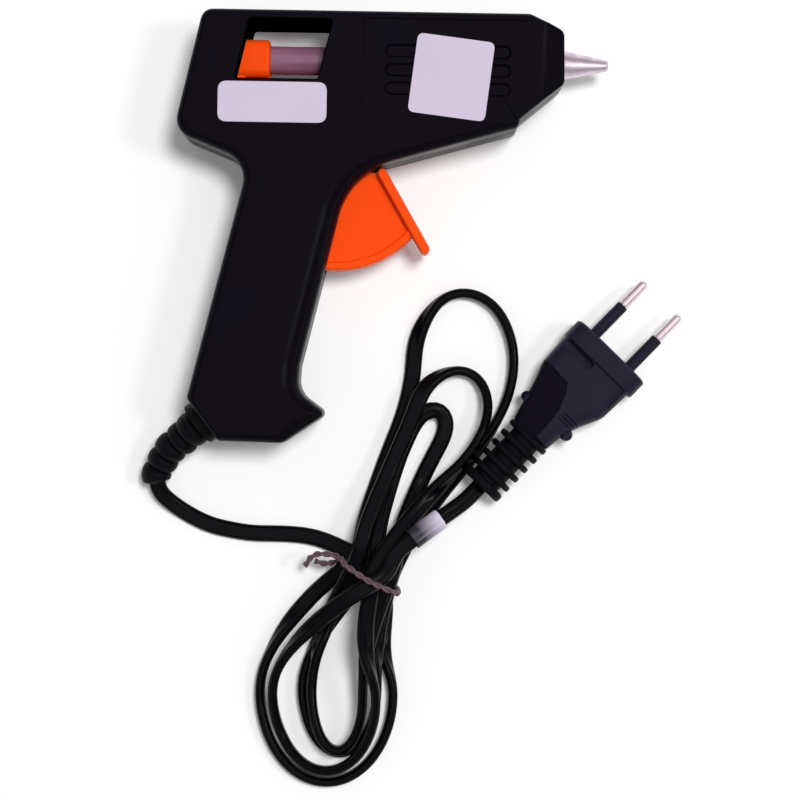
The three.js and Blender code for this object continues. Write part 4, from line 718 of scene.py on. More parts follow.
def twistTree():
    # two strands twisted round the seed's path
    tree, entry = newTree("twistedStrands", {"Strand Radius": ("Float", 0.4), "Half Spacing": ("Float", 0.38),
                                             "Twist": ("Float", 60.0)})
    path = addNode(tree, "GeometryNodeMeshToCurve", {"Mesh": entry["Geometry"]})
    along = addNode(tree, "GeometryNodeSplineParameter")
    tilt = addNode(tree, "ShaderNodeMath", {"operation": "MULTIPLY", 0: along, 1: entry["Twist"]})
    tilted = addNode(tree, "GeometryNodeSetCurveTilt", {"Curve": path, "Tilt": tilt})
    ring = addNode(tree, "GeometryNodeCurvePrimitiveCircle",
                   {"Resolution": 14, "Radius": entry["Strand Radius"]})
    away = addNode(tree, "ShaderNodeMath", {"operation": "MULTIPLY", 1: -1.0, 0: entry["Half Spacing"]})
    strands = addNode(tree, "GeometryNodeJoinGeometry")
    for amount in (entry["Half Spacing"], away):
        offset = addNode(tree, "ShaderNodeCombineXYZ", {"X": amount})
        moved = addNode(tree, "GeometryNodeTransform", {"Geometry": ring, "Translation": offset})
        tree.links.new(moved.outputs["Geometry"], strands.inputs["Geometry"])
    tube = addNode(tree, "GeometryNodeCurveToMesh",
                   {"Fill Caps": True, "Curve": tilted, "Profile Curve": strands})
    return endTree(tree, tube, entry)


def strainReliefTree():
    # a tube along the seed's path whose radius steps over flange, neck and base and then swells in ribs
    names = ["Length", "Flange End", "Neck End", "Base End", "Flange Radius", "Neck Radius", "Base Radius",
             "First Rib", "Last Rib", "Core Share", "Rib Count"]
    tree, entry = newTree("ribbedStrainRelief", {name: ("Float", 1.0) for name in names})

    def calc(operation, *terms):
        return addNode(tree, "ShaderNodeMath", {"operation": operation, **dict(enumerate(terms))})

    run = addNode(tree, "GeometryNodeSplineParameter").outputs["Length"]
    ribbed = calc("SUBTRACT", entry["Length"], entry["Base End"])
    share = calc("DIVIDE", calc("SUBTRACT", run, entry["Base End"]), ribbed)
    part = calc("FRACT", calc("MULTIPLY", share, entry["Rib Count"]))
    away = calc("ABSOLUTE", calc("MULTIPLY_ADD", part, 2.0, -1.0))
    swell = calc("SQRT", calc("SUBTRACT", 1.0, calc("POWER", away, 2.4)))  # 2 would give round ribs
    rib = addNode(tree, "ShaderNodeMapRange",
                  {"Value": share, "To Min": entry["First Rib"], "To Max": entry["Last Rib"]})
    body = addNode(tree, "ShaderNodeMapRange", {"To Max": 1.0, "Value": swell, "To Min": entry["Core Share"]})
    radius = calc("MULTIPLY", rib, body)
    for stage in ("Base", "Neck", "Flange"):
        before = calc("LESS_THAN", run, entry[stage + " End"])
        radius = addNode(tree, "GeometryNodeSwitch",
                         {"input_type": "FLOAT", "Switch": before, "False": radius,
                          "True": entry[stage + " Radius"]})
    path = addNode(tree, "GeometryNodeMeshToCurve", {"Mesh": entry["Geometry"]})
    ring = addNode(tree, "GeometryNodeCurvePrimitiveCircle", {"Resolution": 44, "Radius": 1.0})
    tube = addNode(tree, "GeometryNodeCurveToMesh",
                   {"Fill Caps": True, "Curve": path, "Profile Curve": ring, "Scale": radius})
    return endTree(tree, tube, entry)


repeatInRow, fastenersOnPoints = repeatTree(), screwTree()
wireOnPath, twistedStrands, ribbedStrainRelief = wireTree(), twistTree(), strainReliefTree()
print("node trees built")


# The cord's skin: two round cores side by side with a shallow groove between them

def twinSection(grow=0.0, groove=flatCord["groove"]):
    radius = flatCord["thickness"] / 2 + grow
    centre = flatCord["width"] / 2 + grow - radius
    valley = radius - groove
    outline = []
    for side, turn in ((1, 0), (-1, 180)):
        shoulder, lip = side * centre * flatCord["shoulder"], side * (radius + valley) / 2
        outline += arcPoints((side * centre, 0), radius, turn - 80, turn + 80, 8)
        outline += [(shoulder, lip), (0, side * valley), (-shoulder, lip)]
    return outline


def rolledSection(roll):
    c, s = math.cos(roll), math.sin(roll)
    return [(a * c - b * s, a * s + b * c) for a, b in twinSection()]


def sweptRings(points, sectionAt):
    # rings of a section of (side, up) places carried along points
    rings = []
    for i, point in enumerate(points):
        ahead = (points[min(i + 1, len(points) - 1)] - points[max(i - 1, 0)]).normalized()
        across = ahead.cross(Vector((0, 0, 1))).normalized()
        up = across.cross(ahead).normalized()
        rings.append([point + across * a + up * b for a, b in sectionAt(i)])
    return rings


cordMesh = skinOver(sweptRings(cordPoints, lambda i: rolledSection(cordRolls[i])))
mainsCord = finished("mains_cord", cordMesh, "tool", "cord", ["cord_lead", "cord_hank", "cord_tail"],
                     sharp=80)
print("cord made")

# Milky sleeve on the tail, clear of the cord all round
tailEnds = [settledPlaces[hankCount + sleeve[key]][0] for key in ("from", "to")]
tailSteps = range(len(cordPoints) - sleeve["within"], len(cordPoints))
firstAt, lastAt = (min(tailSteps, key=lambda i: (cordPoints[i] - place).length) for place in tailEnds)
sleevePath = evenPoints(cordPoints[firstAt:lastAt + 1], sleeve["steps"])
outer, inner = (sweptRings(sleevePath, lambda i: twinSection(grow, sleeve["groove"]))
                for grow in (sleeve["clear"] + sleeve["wall"], sleeve["clear"]))
sleeveMesh = skinOver(outer + inner[::-1], True)
shares = [k / sleeve["steps"] for k in range(sleeve["steps"] + 1)]
runShares = [share for share in shares + shares[::-1] for _ in outer[0]]
# the share of the run along the sleeve, which its painted reflection follows
sleeveMesh.attributes.new("sleeveRun", "FLOAT", "POINT").data.foreach_set("value", runShares)
finished("shrink_sleeve", sleeveMesh, "tool", "label", ["cord_label"], sleeveFilm, sharp=60)

# Twist tie: its route lies as the node's, once round the waist, ends turned out to the left
tie = {"radius": 0.44, "spacing": 0.36, "turns": 15, "clear": 0.9, "lift": 0.9, "drop": 0.75, "top": 1.03,
       "steps": 420,
       # shares of the bundle's half width across and along, and of the height
       "route": [(-1.84, -0.77, 0.4), (-1.5, -0.7, 0.36), (-1.2, -0.5, 0.22), (-1, -0.35, 0.02),
                 (-0.8, -0.35, 0), (0, -0.35, 0), (0.8, -0.35, 0), (1, -0.35, 0.08), (1.03, -0.35, 0.75),
                 (0.85, -0.35, 1), (0, -0.4, 1.03), (-0.85, -0.3, 1), (-1.03, -0.25, 0.75),
                 (-1.25, -0.23, 0.6), (-1.77, -0.44, 0.55), (-2, -0.7, 0.5), (-2.05, -1, 0.4)]}
tieLow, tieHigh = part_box("cord_tie")
lowZ, highZ = tieLow[2] / mm + tie["lift"], tieHigh[2] / mm - tie["drop"]
bundleHalf = hank["pitch"] + flatCord["width"] / 2 + tie["clear"]
tieRoute = []
for across, along, up in tie["route"]:
    place = beside(along * bundleHalf, across * bundleHalf)
    tieRoute.append(Vector((place.x, place.y, lowZ + (highZ - lowZ) * up / tie["top"])))
tieMesh = grown(pathMesh(evenPoints(tieRoute, tie["steps"])), twistedStrands,
                {"Strand Radius": tie["radius"], "Half Spacing": tie["spacing"],
                 "Twist": tie["turns"] * 2 * math.pi, "Material": tieVinyl})
finished("twist_tie", tieMesh, "tool", "tie", ["cord_tie"], sharp=70)
print("sleeve and tie made")


# Housing: two moulded halves, built up from the parting plane

housing = {
    "mid": 12, "seam": 0.3, "wall": 2, "bore": 27.4, "ahead": 70, "seamEdge": 0.2, "fine": 4, "coarse": 10,
    # x, y, corner radius, rounding of the edge that follows
    "corners": [
        (-33.99, 38.8, 3.2, 2), (-41, 7.99, 5, 2.5), (-22.02, 0.39, 7, 2.5), (-36.61, -59.01, 1.5, 1.5),
        (-28.5, -69.72, 1.5, 2.5), (-12.22, -70, 3, 4), (-1.19, -62.37, 1.5, 4), (-8.69, -56.91, 6, 5.4),
        (-8.28, -50.47, 6, 5.4), (3.43, -1.68, 18.6, 3), (45.39, 10.2, 0.8, 1.5), (46.02, 12.3, 0.8, 1.5),
        (57.1, 21.61, 2, 1), (56.87, 34.69, 2, 1.5), (47.96, 38.8, 1.5, 2)],
    "softest": 5.4, "roundSteps": 13, "top": 38.8, "leastRadius": 0.4, "leastInside": 0.5,
}
nose = {"reach": 57.1, "bevel": 6.6, "bevelDepth": 3.4, "solidFrom": 48.5}
panel = {"stepX": 0.3, "stepSlope": 0.8, "stepDepth": 0.15, "stepBottom": -35, "left": 6.4, "bottom": 11,
         "top": 36.8, "depth": 0.35, "wall": 0.12}
grooves = {"left": 11.9, "right": 43.5, "height": 3.3, "pitch": 4.7, "top": 28.8, "depth": 0.7, "count": 3,
           "lip": 0.3, "flare": (-0.45, -0.1, 0.1, 0.5)}
pocket = {"outline": [(40.3, 16.4), (42.4, 16.6), (45.0, 12.6), (44.6, 11.6), (40.1, 11.6), (39.8, 13)],
          "island": [(41.3, 15.2), (42.3, 15.3), (44.1, 12.6), (41.3, 12.4)], "depth": 0.45,
          "corner": 0.7, "islandCorner": 0.4}
window = {"left": -25.7, "width": 20.8, "bottom": 21.4, "top": 36.4, "lean": 0.233, "frame": 1.6,
          "frameCorner": 0.6, "corner": 0.9, "edge": 0.35, "slack": 0.2}
fasteners = {"places": [(41.68, 35.5), (30.26, 9.7), (-31.57, 35.89), (-18.04, -39.2), (-16.4, -63)],
             "sunk": 3.4, "boss": 2.9, "hole": 1.5, "blind": 6.7, "headHole": 2.7}
ribs = {"at": (22, 49.9), "width": 1.6, "bottom": 18.9}
pivot = {"boss": 3.2, "bossFrom": 4.15, "hole": 1.8, "holeTo": 9.15}
# ways through the halves: radius of the bores, reach and depth of the carriage's and the trigger's room
ways = {"rear": -42, "port": 4.3, "stick": 3.95, "chamber": 6.3, "chamberEnds": (14, 52.3),
        "railBox": (-31.3, 8.3, 18, 23.2), "railDepth": 4.4, "ringEnds": (-31.3, -17.3), "ringHalf": 5.1,
        "ringDepth": 5.3, "swing": 26.7, "swingFrom": -130, "swingTo": 4, "swingDepth": 4.6}
foot = {"middle": (-32.554, -64.365), "out": (-0.797, -0.604, 0), "halfLength": 4, "hole": 3.4}
halfDepth = housing["mid"] - housing["seam"] / 2
cavityDepth = halfDepth - housing["wall"]
bore, mid = housing["bore"], housing["mid"]


def outlineAt(insetOf, stepDegrees):
    # the side view's outline, each edge moved inwards by its own inset
    corners = housing["corners"]
    lines = []
    for (x, y, _, rounding), after in zip(corners, corners[1:] + corners[:1]):
        along = Vector((after[0] - x, after[1] - y)).normalized()
        inward = Vector((-along.y, along.x))
        inset = insetOf(rounding)
        lines.append((along, inward, inset, Vector((x, y)) + inward * inset))
    points = []
    for i, corner in enumerate(corners):
        alongA, inwardA, insetA, startA = lines[i - 1]
        alongB, _, insetB, startB = lines[i]
        turn = alongA.x * alongB.y - alongA.y * alongB.x
        arm = startB - startA
        tip = startA + alongA * ((arm.x * alongB.y - arm.y * alongB.x) / turn)
        angle = math.acos(alongA.dot(alongB))
        sign = 1 if turn > 0 else -1
        radius = max(corner[2] - sign * min(insetA, insetB), housing["leastRadius"])
        start = tip - alongA * radius * math.tan(angle / 2)
        steps = max(1, round(angle / math.radians(stepDegrees)))
        for k in range(steps + 1):
            swept = angle * k / steps
            sideways = inwardA * sign * radius * (1 - math.cos(swept))
            points.append(start + alongA * radius * math.sin(swept) + sideways)
    return points


def roundedInset(rounding, depth):
    # how far an edge has drawn in at a depth under the flat face
    return 0 if depth >= rounding else rounding - math.sqrt(rounding ** 2 - (rounding - depth) ** 2)


def windowOutline(grow, corner):
    low, high = window["bottom"] - grow, window["top"] + grow
    left, right = window["left"] - grow, window["left"] + window["width"] + grow
    leanLow, leanHigh = ((y - window["bottom"]) * window["lean"] for y in (low, high))
    return roundedCorners([(left + leanLow, low), (right + leanLow, low), (right + leanHigh, high),
                           (left + leanHigh, high)], corner)


def boreRod(x0, x1, radius):
    return rod((x0, bore, mid), (x1, bore, mid), radius, 48)


def turnedOnBore(rear, profile, sides, hollow=False):
    # turned round the bore's axis, from the rear forwards
    return turned((rear, bore, mid), (housing["ahead"], bore, mid), profile, sides, hollow)


def halfShell(side):
    # side 1 is the half that faces up, side -1 the one on the floor; heights count from the parting plane
    def level(h):
        return mid + side * (housing["seam"] / 2 + h)

    def flared(outlines, heights):
        # a cutter whose outline widens from height to height
        return raised(outlines, [level(h) for h in heights])

    def ring(insetOf, h, step):
        return [Vector((point.x, point.y, level(h))) for point in outlineAt(insetOf, step)]

    def slab(points, low, high):
        return flared([points, points], [low, high])

    def block(x0, x1, y0, y1, low, high):
        return slab(rect(x0, y0, x1, y1), low, high)

    def post(x, y, low, high, radius):
        return rod((x, y, level(low)), (x, y, level(high)), radius)

    softest, wall, seamEdge, steps = (housing[key] for key in ("softest", "wall", "seamEdge", "roundSteps"))
    fine, coarse, least, face = housing["fine"], housing["coarse"], housing["leastInside"], halfDepth
    top, over, under, skim = face - 0.5, face + 1, -1, 0.02
    rings = [ring(lambda r: seamEdge, 0, fine), ring(lambda r: 0, seamEdge, fine)]
    for k in range(steps, -1, -1):
        depth = softest * (1 - math.cos(math.pi / 2 * k / steps))
        rings.append(ring(lambda r: roundedInset(r, depth), face - depth, fine))
    outer = skinOver(rings)
    rings = [ring(lambda r: wall, under, coarse)]
    for share in (1, 0.6, 0.3, 0.1, 0):
        depth = share * (softest - wall)
        rings.append(ring(lambda r: wall + roundedInset(max(r - wall, least), depth), cavityDepth - depth,
                          coarse))
    cavity = skinOver(rings)

    # inside: window frame, screw bosses, pivot socket, ribs and the thick nose
    inside = [post(x, y, 0, top, fasteners["boss"]) for x, y in fasteners["places"]]
    inside.append(post(0, 0, pivot["bossFrom"], top, pivot["boss"]))
    inside += [block(x, x + ribs["width"], ribs["bottom"], housing["top"], 0, top) for x in ribs["at"]]
    inside.append(block(nose["solidFrom"], nose["reach"], 0, housing["top"],
                        cavityDepth - nose["bevelDepth"], top))
    frameSlab = slab(windowOutline(window["frame"], window["frameCorner"]), 0, top)
    features = carved(frameSlab, adding(*inside) + [("INTERSECT", outer.copy())])

    # openings: window, stick port, nozzle and chamber bores, the carriage's way, the trigger's slot, the foot
    edge, corner = window["edge"], window["corner"]
    widening = (0, corner), (0, corner), (edge, corner + edge / 2), (edge + 1, corner + edge)
    cuts = [flared([windowOutline(*step) for step in widening], [-3, face - edge, face + skim, over]),
            boreRod(ways["rear"], 0, ways["port"]), boreRod(0, nose["reach"] + 1, ways["stick"]),
            boreRod(*ways["chamberEnds"], ways["chamber"]), block(*ways["railBox"], under, ways["railDepth"]),
            block(*ways["ringEnds"], bore - ways["ringHalf"], bore + ways["ringHalf"], under,
                  ways["ringDepth"]),
            slab([(0, 0)] + arcPoints((0, 0), ways["swing"], ways["swingFrom"], ways["swingTo"], 60), under,
                 ways["swingDepth"]),
            post(0, 0, under, pivot["holeTo"], pivot["hole"])]
    footMiddle, footOut = Vector((*foot["middle"], mid)), Vector(foot["out"]) * foot["halfLength"]
    cuts.append(rod(footMiddle - footOut, footMiddle + footOut, foot["hole"]))

    # outside: bevel at the nose, the step, the panel, its grooves and the hooked pocket
    stepTop = face - panel["stepDepth"]
    panelTop = stepTop - panel["depth"]
    start, front = nose["reach"] - nose["bevel"], nose["reach"] + 1
    bevelled = face - nose["bevelDepth"] / nose["bevel"] * (front - start)
    beyond = housing["top"] + 1.2
    wedge = (start, face), (front, bevelled), (front, over), (start, over)
    cuts.append(skinOver([[Vector((x, y, level(h))) for x, h in wedge] for y in (-1, beyond)]))
    x, run, w = panel["stepX"], panel["stepSlope"], panel["wall"]
    lefts = x, x - run, x - run - 0.1
    cuts.append(flared([rect(left, panel["stepBottom"], front, beyond) for left in lefts],
                       [stepTop, face + skim, over]))
    cuts.append(flared([rect(panel["left"] - grow, panel["bottom"] - grow, front, panel["top"] + grow)
                        for grow in (0, w, w + 0.3)], [panelTop, stepTop + skim, over]))
    radius, grooveTop, floorAt = grooves["height"] / 2, grooves["top"], panelTop - grooves["depth"]
    ends = (grooves["left"] + radius, grooveTop), (grooves["right"] - radius, grooveTop)
    groove = flared([capsule(*ends, radius + grow, 10) for grow in grooves["flare"]],
                    [floorAt, floorAt + grooves["lip"], panelTop + skim, over])
    cuts.append(grown(groove, repeatInRow, {"Count": grooves["count"], "Offset": (0, -grooves["pitch"], 0),
                                            "Material": mouldedAbs}))
    hook = slab(roundedCorners(pocket["outline"], pocket["corner"]), panelTop - pocket["depth"], over)
    island = slab(roundedCorners(pocket["island"], pocket["islandCorner"]), panelTop - 1, panelTop + 0.1)
    cuts.append(carved(hook, cutting(island)))

    # screws come up from the lower half
    for x, y in fasteners["places"]:
        cuts.append(post(x, y, under, fasteners["blind"] if side > 0 else over, fasteners["hole"]))
        if side < 0:
            headFrom = mid - fasteners["sunk"] - housing["seam"] / 2
            cuts.append(post(x, y, headFrom, over, fasteners["headHole"]))
    return carved(outer, cutting(cavity) + adding(features) + cutting(*cuts))


def insideWindow(middle, normal):
    slack, y = window["slack"], middle.y - window["bottom"]
    x = middle.x - y * window["lean"] - window["left"]
    return -slack < x < window["width"] + slack and -slack < y < window["top"] - window["bottom"] + slack


for name, side, node in (("housing_upper", 1, "right_shell"), ("housing_lower", -1, "left_shell")):
    # faces in the window take the copy of the housing ABS painted darker as shade
    dressedPartly(finished(name, halfShell(side), "tool", "housing", [node]), windowShadeAbs, insideWindow)
print("housing made")

# Screws: pan heads with a cross slot, rolled thread on the shank
screw = {"head": [(0, 1.1), (0.25, 2.0), (0.8, 2.4), (1.6, 2.4), (1.6, 1.2)],
         "thread": [(0, 0.95), (0.35, 1.2), (0.55, 1.2), (0.9, 0.95)], "tip": [(15.9, 0.6), (16.6, 0.2)],
         "threadFrom": 3.2, "pitch": 1.1, "turns": 11, "slot": 1.45, "slotHalf": 0.3, "slotDepth": 0.7,
         "headAt": 1.5, "nodes": ["screw_1", "screw_2", "screw_3", "screw_4", "screw_5"]}
shank = [(screw["threadFrom"] + screw["pitch"] * k + along, radius)
         for k in range(screw["turns"]) for along, radius in screw["thread"]]
screwBody = screw["head"] + shank + screw["tip"]
a, b = screw["slot"], screw["slotHalf"]
crossSlot = [boxBetween(-x, x, -y, y, -1, screw["slotDepth"]) for x, y in ((a, b), (b, a))]
screwModel = linked("panHeadScrew", carved(turned((0, 0, 0), (0, 0, 1), screwBody, 28), cutting(*crossSlot)))
screwSeats = bpy.data.meshes.new("screwSeats")
screwSeats.from_pydata([(x, y, screw["headAt"]) for x, y in fasteners["places"]], [], [])
screws = grown(screwSeats, fastenersOnPoints, {"Fastener": screwModel, "Material": zincSteel})
bpy.data.objects.remove(screwModel)
finished("housing_screws", screws, "tool", "steel", screw["nodes"])

# Return spring round the upper pivot boss
spring = {"wire": 0.35, "sides": 12, "radius": 3.95, "turns": 3.5, "pitch": 1.05, "floor": 16.95,
          "stepsPerTurn": 36, "legSide": 4.4, "legHeights": (12.8, 16.65), "lowerLeg": -9}
radius = spring["radius"]
springPath = [Vector((radius, spring["legSide"], z)) for z in spring["legHeights"]]
for k in range(int(spring["turns"] * spring["stepsPerTurn"]) + 1):
    turn = k / spring["stepsPerTurn"]
    angle = 2 * math.pi * turn
    springPath.append(Vector((radius * math.cos(angle), radius * math.sin(angle),
                              spring["floor"] + spring["pitch"] * turn)))
springPath.append(Vector((-radius, spring["lowerLeg"], spring["floor"] + spring["pitch"] * spring["turns"])))
springMesh = grown(pathMesh(springPath), wireOnPath,
                   {"Radius": spring["wire"], "Sides": spring["sides"], "Material": zincSteel})
finished("return_spring", springMesh, "tool", "steel", ["trigger_spring"], sharp=60)
print("screws and spring made")

# Blank stickers: rounded plates with a soft upper edge
stickers = {
    "sticker_rear": {"node": "rating_label", "at": (-16.2, 15.4, 24), "half": (13.65, 5.1),
                     "corner": 2.3, "tilt": 0},
    "sticker_nose": {"node": "square_label", "at": (28.55, 22.4, 23.4), "half": (9.75, 10),
                     "corner": 1.7, "tilt": -6.8},
}
stickerEdge = [(0, 0.0), (0, 0.09), (0.03, 0.13), (0.09, 0.15)]  # inset, height
for name, sticker in stickers.items():
    wide, high = sticker["half"]
    mesh = raised([roundedCorners(rect(-wide + inset, -high + inset, wide - inset, high - inset),
                                  sticker["corner"] - inset, 10) for inset, _ in stickerEdge],
                  [lift for _, lift in stickerEdge])
    tilt = Matrix.Rotation(math.radians(sticker["tilt"]), 4, "Z")
    mesh.transform(Matrix.Translation(sticker["at"]) @ tilt)
    finished(name, mesh, "tool", "label", [sticker["node"]], sharp=50)

# Trigger: web with a raised rim, finger pad, hub, crank and its cross pin
trigger = {"webRadius": 26, "webHalf": 2.6, "rim": 2.1, "rimHalf": 4.1, "from": -104, "to": -39.6,
           "padTop": (11.6, -1.3), "padAngle": -59.7, "padRun": 22, "padRadius": 1.2, "padHalf": 5.5,
           "rounding": 0.6, "hub": 3.2, "hubHalf": 4, "pivotHole": 1.8, "crank": 18.9, "crankAngle": 102,
           "crankHalf": 1.6, "crankRadius": 2.3, "pin": 1.5, "pinHalf": 4.1, "steps": 44, "rimMiddle": 25}


def reached(start, distance, degrees):
    angle = math.radians(degrees)
    return start[0] + distance * math.cos(angle), start[1] + distance * math.sin(angle)


def triggerArc(radius, start, end):
    return arcPoints((0, 0), radius, start, end, trigger["steps"])


def axle(place, halfLength, radius, sides=32):
    # a rod across the middle plane
    return rod((*place, mid - halfLength), (*place, mid + halfLength), radius, sides)


def rimOutline(inset):
    trim = math.degrees(inset / trigger["rimMiddle"])
    start, end = trigger["from"] + trim, trigger["to"] - trim
    return (triggerArc(trigger["webRadius"] - inset, start, end)
            + triggerArc(trigger["webRadius"] - trigger["rim"] + inset, end, start))


def padOutline(inset):
    return capsule(trigger["padTop"], padEnd, trigger["padRadius"] - inset, 14)


crossPin = reached((0, 0), trigger["crank"], trigger["crankAngle"])
padEnd = reached(trigger["padTop"], trigger["padRun"], trigger["padAngle"])
webArc = triggerArc(trigger["webRadius"] - 0.3, trigger["from"], trigger["to"])
web, crank = (prism(points, mid - half, mid + half) for points, half in (
    ([(0, 0)] + webArc + [trigger["padTop"]], trigger["webHalf"]),
    (capsule((0, 0), crossPin, trigger["crankRadius"]), trigger["crankHalf"])))
rim, pad = (roundedSlab(outlineOf, mid - half, mid + half, trigger["rounding"]) for outlineOf, half in (
    (rimOutline, trigger["rimHalf"]), (padOutline, trigger["padHalf"])))
triggerMesh = carved(web, adding(
    rim, pad, axle((0, 0), trigger["hubHalf"], trigger["hub"], 48), crank,
    axle(crossPin, trigger["pinHalf"], trigger["pin"])) + cutting(axle((0, 0), 6, trigger["pivotHole"])))
finished("trigger_lever", triggerMesh, "trigger", "orange", ["trigger"])

# Carriage: ring that grips the stick, on rails with a fork for the cross pin
carriage = {"front": -17.3, "length": 12.7, "halfHeight": 4.8, "halfWidth": 5, "corner": 2.4, "nose": 0.9,
            "rearEdge": 0.4, "bore": 3.95, "web": (6.35, 25.6), "rail": (19.8, 22), "railHalf": (1.9, 4.1),
            "fork": 3.2, "forkDrop": 2.9, "slotHalf": 1.8, "slotHeight": 4.2}
front, rear = carriage["front"], carriage["front"] - carriage["length"]


def ringOutline(inset):
    a, b = carriage["halfHeight"] - inset, carriage["halfWidth"] - inset
    return roundedCorners(rect(-a, -b, a, b), carriage["corner"], 8)


ringSteps = [(front - back, inset) for inset, back in roundedEdge(carriage["nose"], 5)]
ringSteps += [(rear + carriage["rearEdge"], 0), (rear, carriage["rearEdge"])]
ringMesh = skinOver([[Vector((x, bore + y, mid + z)) for y, z in ringOutline(inset)]
                     for x, inset in ringSteps])
railLow, railHigh = carriage["rail"]
inner, outer = carriage["railHalf"]
rails = [boxBetween(rear, rear + carriage["web"][0], railLow, carriage["web"][1], mid - outer, mid + outer)]
forkX0, forkX1 = crossPin[0] - carriage["fork"], crossPin[0] + carriage["fork"]
for z0, z1 in ((mid + inner, mid + outer), (mid - outer, mid - inner)):
    rails += [boxBetween(forkX0, forkX1, crossPin[1] - carriage["forkDrop"], railHigh, z0, z1),
              boxBetween(rear, forkX1, railLow, railHigh, z0, z1)]
slot = carriage["slotHalf"]
slotBox = boxBetween(crossPin[0] - slot, crossPin[0] + slot, crossPin[1] - slot,
                     crossPin[1] - slot + carriage["slotHeight"], mid - 6, mid + 6)
stickHole = boreRod(rear - 1, front + 1, carriage["bore"])
carriageMesh = carved(ringMesh, adding(*rails) + cutting(stickHole, slotBox))
finished("stick_carriage", carriageMesh, "carriage", "orange", ["carriage"])

# Stick: cut square, edges a little melted
stick = {"rear": -31, "profile": [(0, 3.3), (0.1, 3.5), (0.35, 3.6), (52.7, 3.6), (52.95, 3.45), (53, 3.2)]}
finished("melt_stick", turnedOnBore(stick["rear"], stick["profile"], 56), "stick", "glue", ["glue_stick"],
         sharp=50)

# Nozzle: turned cone with a worn edge at the tip, shank inside the chamber
nozzle = {"rear": 46.4, "profile": [
    (0, 1.4), (11, 1.4), (22.2, 0.7), (22.28, 1.0), (22.15, 1.28), (21.9, 1.42), (11.25, 3.58), (10.95, 3.65),
    (7.0, 3.65), (7.0, 2.7), (0, 2.7)]}
finished("nozzle_cone", turnedOnBore(nozzle["rear"], nozzle["profile"], 64, True), "tool", "aluminium",
         ["nozzle"])
print("stickers, trigger, carriage, stick and nozzle made")

# Strain relief: along its curved run, flange and neck inside the foot, then base and ribs
relief = {"path": [(-29.446, -62.009, 12), (-32.554, -64.365, 12), (-34.905, -66.147, 11.7),
                   (-36.82, -68.11, 10.08), (-39.4, -70.07, 9.0), (-41.82, -72.31, 7.92),
                   (-44.12, -75.88, 6.24), (-45.51, -78.89, 5.16), (-45.39, -80.57, 4.68)], "steps": 190,
          "sizes": {"Flange End": 1.6, "Neck End": 4.2, "Base End": 6.2, "Flange Radius": 4.6,
                    "Neck Radius": 3.1, "Base Radius": 5.7, "First Rib": 4.75, "Last Rib": 3.75,
                    "Core Share": 0.66, "Rib Count": 5.0}}
reliefPath = evenPoints([Vector(place) for place in relief["path"]], relief["steps"])
reliefMesh = grown(pathMesh(reliefPath), ribbedStrainRelief,
                   {"Length": runOf(reliefPath)[-1], "Material": bootPvc, **relief["sizes"]})
finished("strain_relief", reliefMesh, "tool", "plug", ["cord_boot"], bootPvc, sharp=50)

# Plug, in its own frame: x from the front face along the plug, y across, z up
plug = {
    # distance from the front face, half width left and right, half height
    "sections": [(0, 10.95, 10.95, 6.3), (0.15, 11.3, 11.3, 6.65), (0.5, 11.65, 11.65, 7),
                 (4.9, 11.65, 11.65, 7), (5.2, 11.5, 11.5, 6.85), (5.5, 11.2, 10.6, 6.2),
                 (9, 11.1, 10.5, 6.1), (13.6, 10.8, 10.3, 6.05), (15, 10.4, 9.9, 5.95),
                 (17.2, 9.5, 8.9, 5.8), (19.2, 8.8, 7.9, 5.6), (21.2, 8.2, 7.2, 5.45),
                 (23.4, 7.6, 6.6, 5.35), (25, 7.2, 6.2, 5.2), (27.2, 6.6, 5.9, 5.0), (29.2, 6.0, 5.7, 4.7),
                 (29.9, 5.6, 5.4, 4.3)],
    "boxy": 0.52, "oval": 0.8, "ovalFrom": 13, "ovalTo": 28, "sides": 72,
    # the slope beside the ridge: its upper and its outer edge
    "facet": [(13.8, -2.8, 5.9), (15.6, -1.3, 5.8), (20.1, 0.6, 5.3), (24, 1.2, 4.9), (30.5, 1.4, 4.1),
              (31, -12, 1.6), (13.8, -12, 4.2)],
    "facetEnds": (13, 29.4),
    "core": (4.2, 3.7), "coreEnds": (29, 48.2), "fin": (6.1, 5.2), "finHalf": 0.8, "finFirst": 30.7,
    "finPitch": 3.35, "fins": 5, "finPower": 0.85, "rounding": 0.55, "lastHalf": 1.2, "lastRounding": 0.8,
    # knobs on both sides: place, lower and upper end, profile
    "knobs": [((23.4, -7.5), -2.6, 3,
               [(0, 0.5), (0.3, 1.1), (0.8, 1.4), (4.4, 1.4), (4.9, 1.1), (5.2, 0.5)]),
              ((23.5, 6.6), -2.6, 3.4,
               [(0, 0.6), (0.3, 1.3), (0.8, 1.6), (5.0, 1.6), (5.6, 1.3), (5.9, 0.6)])],
    "lines": 3, "lineAt": 20.0, "lineFrom": 1.9, "lineTo": 7.6, "lineHalf": 0.2, "lineStep": (0.95, 0, -0.06),
    "lineDepth": 5.15, "lineSlope": 0.34, "recess": ((6.7, -9.4), (6.7, -2.0), 1.15),
    "seamLine": ((6.0, 9.15), (11.1, 9.1), 0.22, 6), "recessFloor": 3.6, "above": 12,
}
pins = {"across": 6.15, "out": -19, "in": 4, "seat": 1.2, "seatEnds": (-1, 4.3), "sides": 40,
        "metal": [(0, 0.25), (0.08, 0.6), (0.3, 0.95), (0.65, 1.2), (1.1, 1.3), (8.1, 1.3), (8.1, 0.9),
                  (23, 0.9)],
        "cover": [(8.4, 1.2), (18.7, 1.2), (18.7, 1.55), (8.7, 1.55), (8.45, 1.4)]}


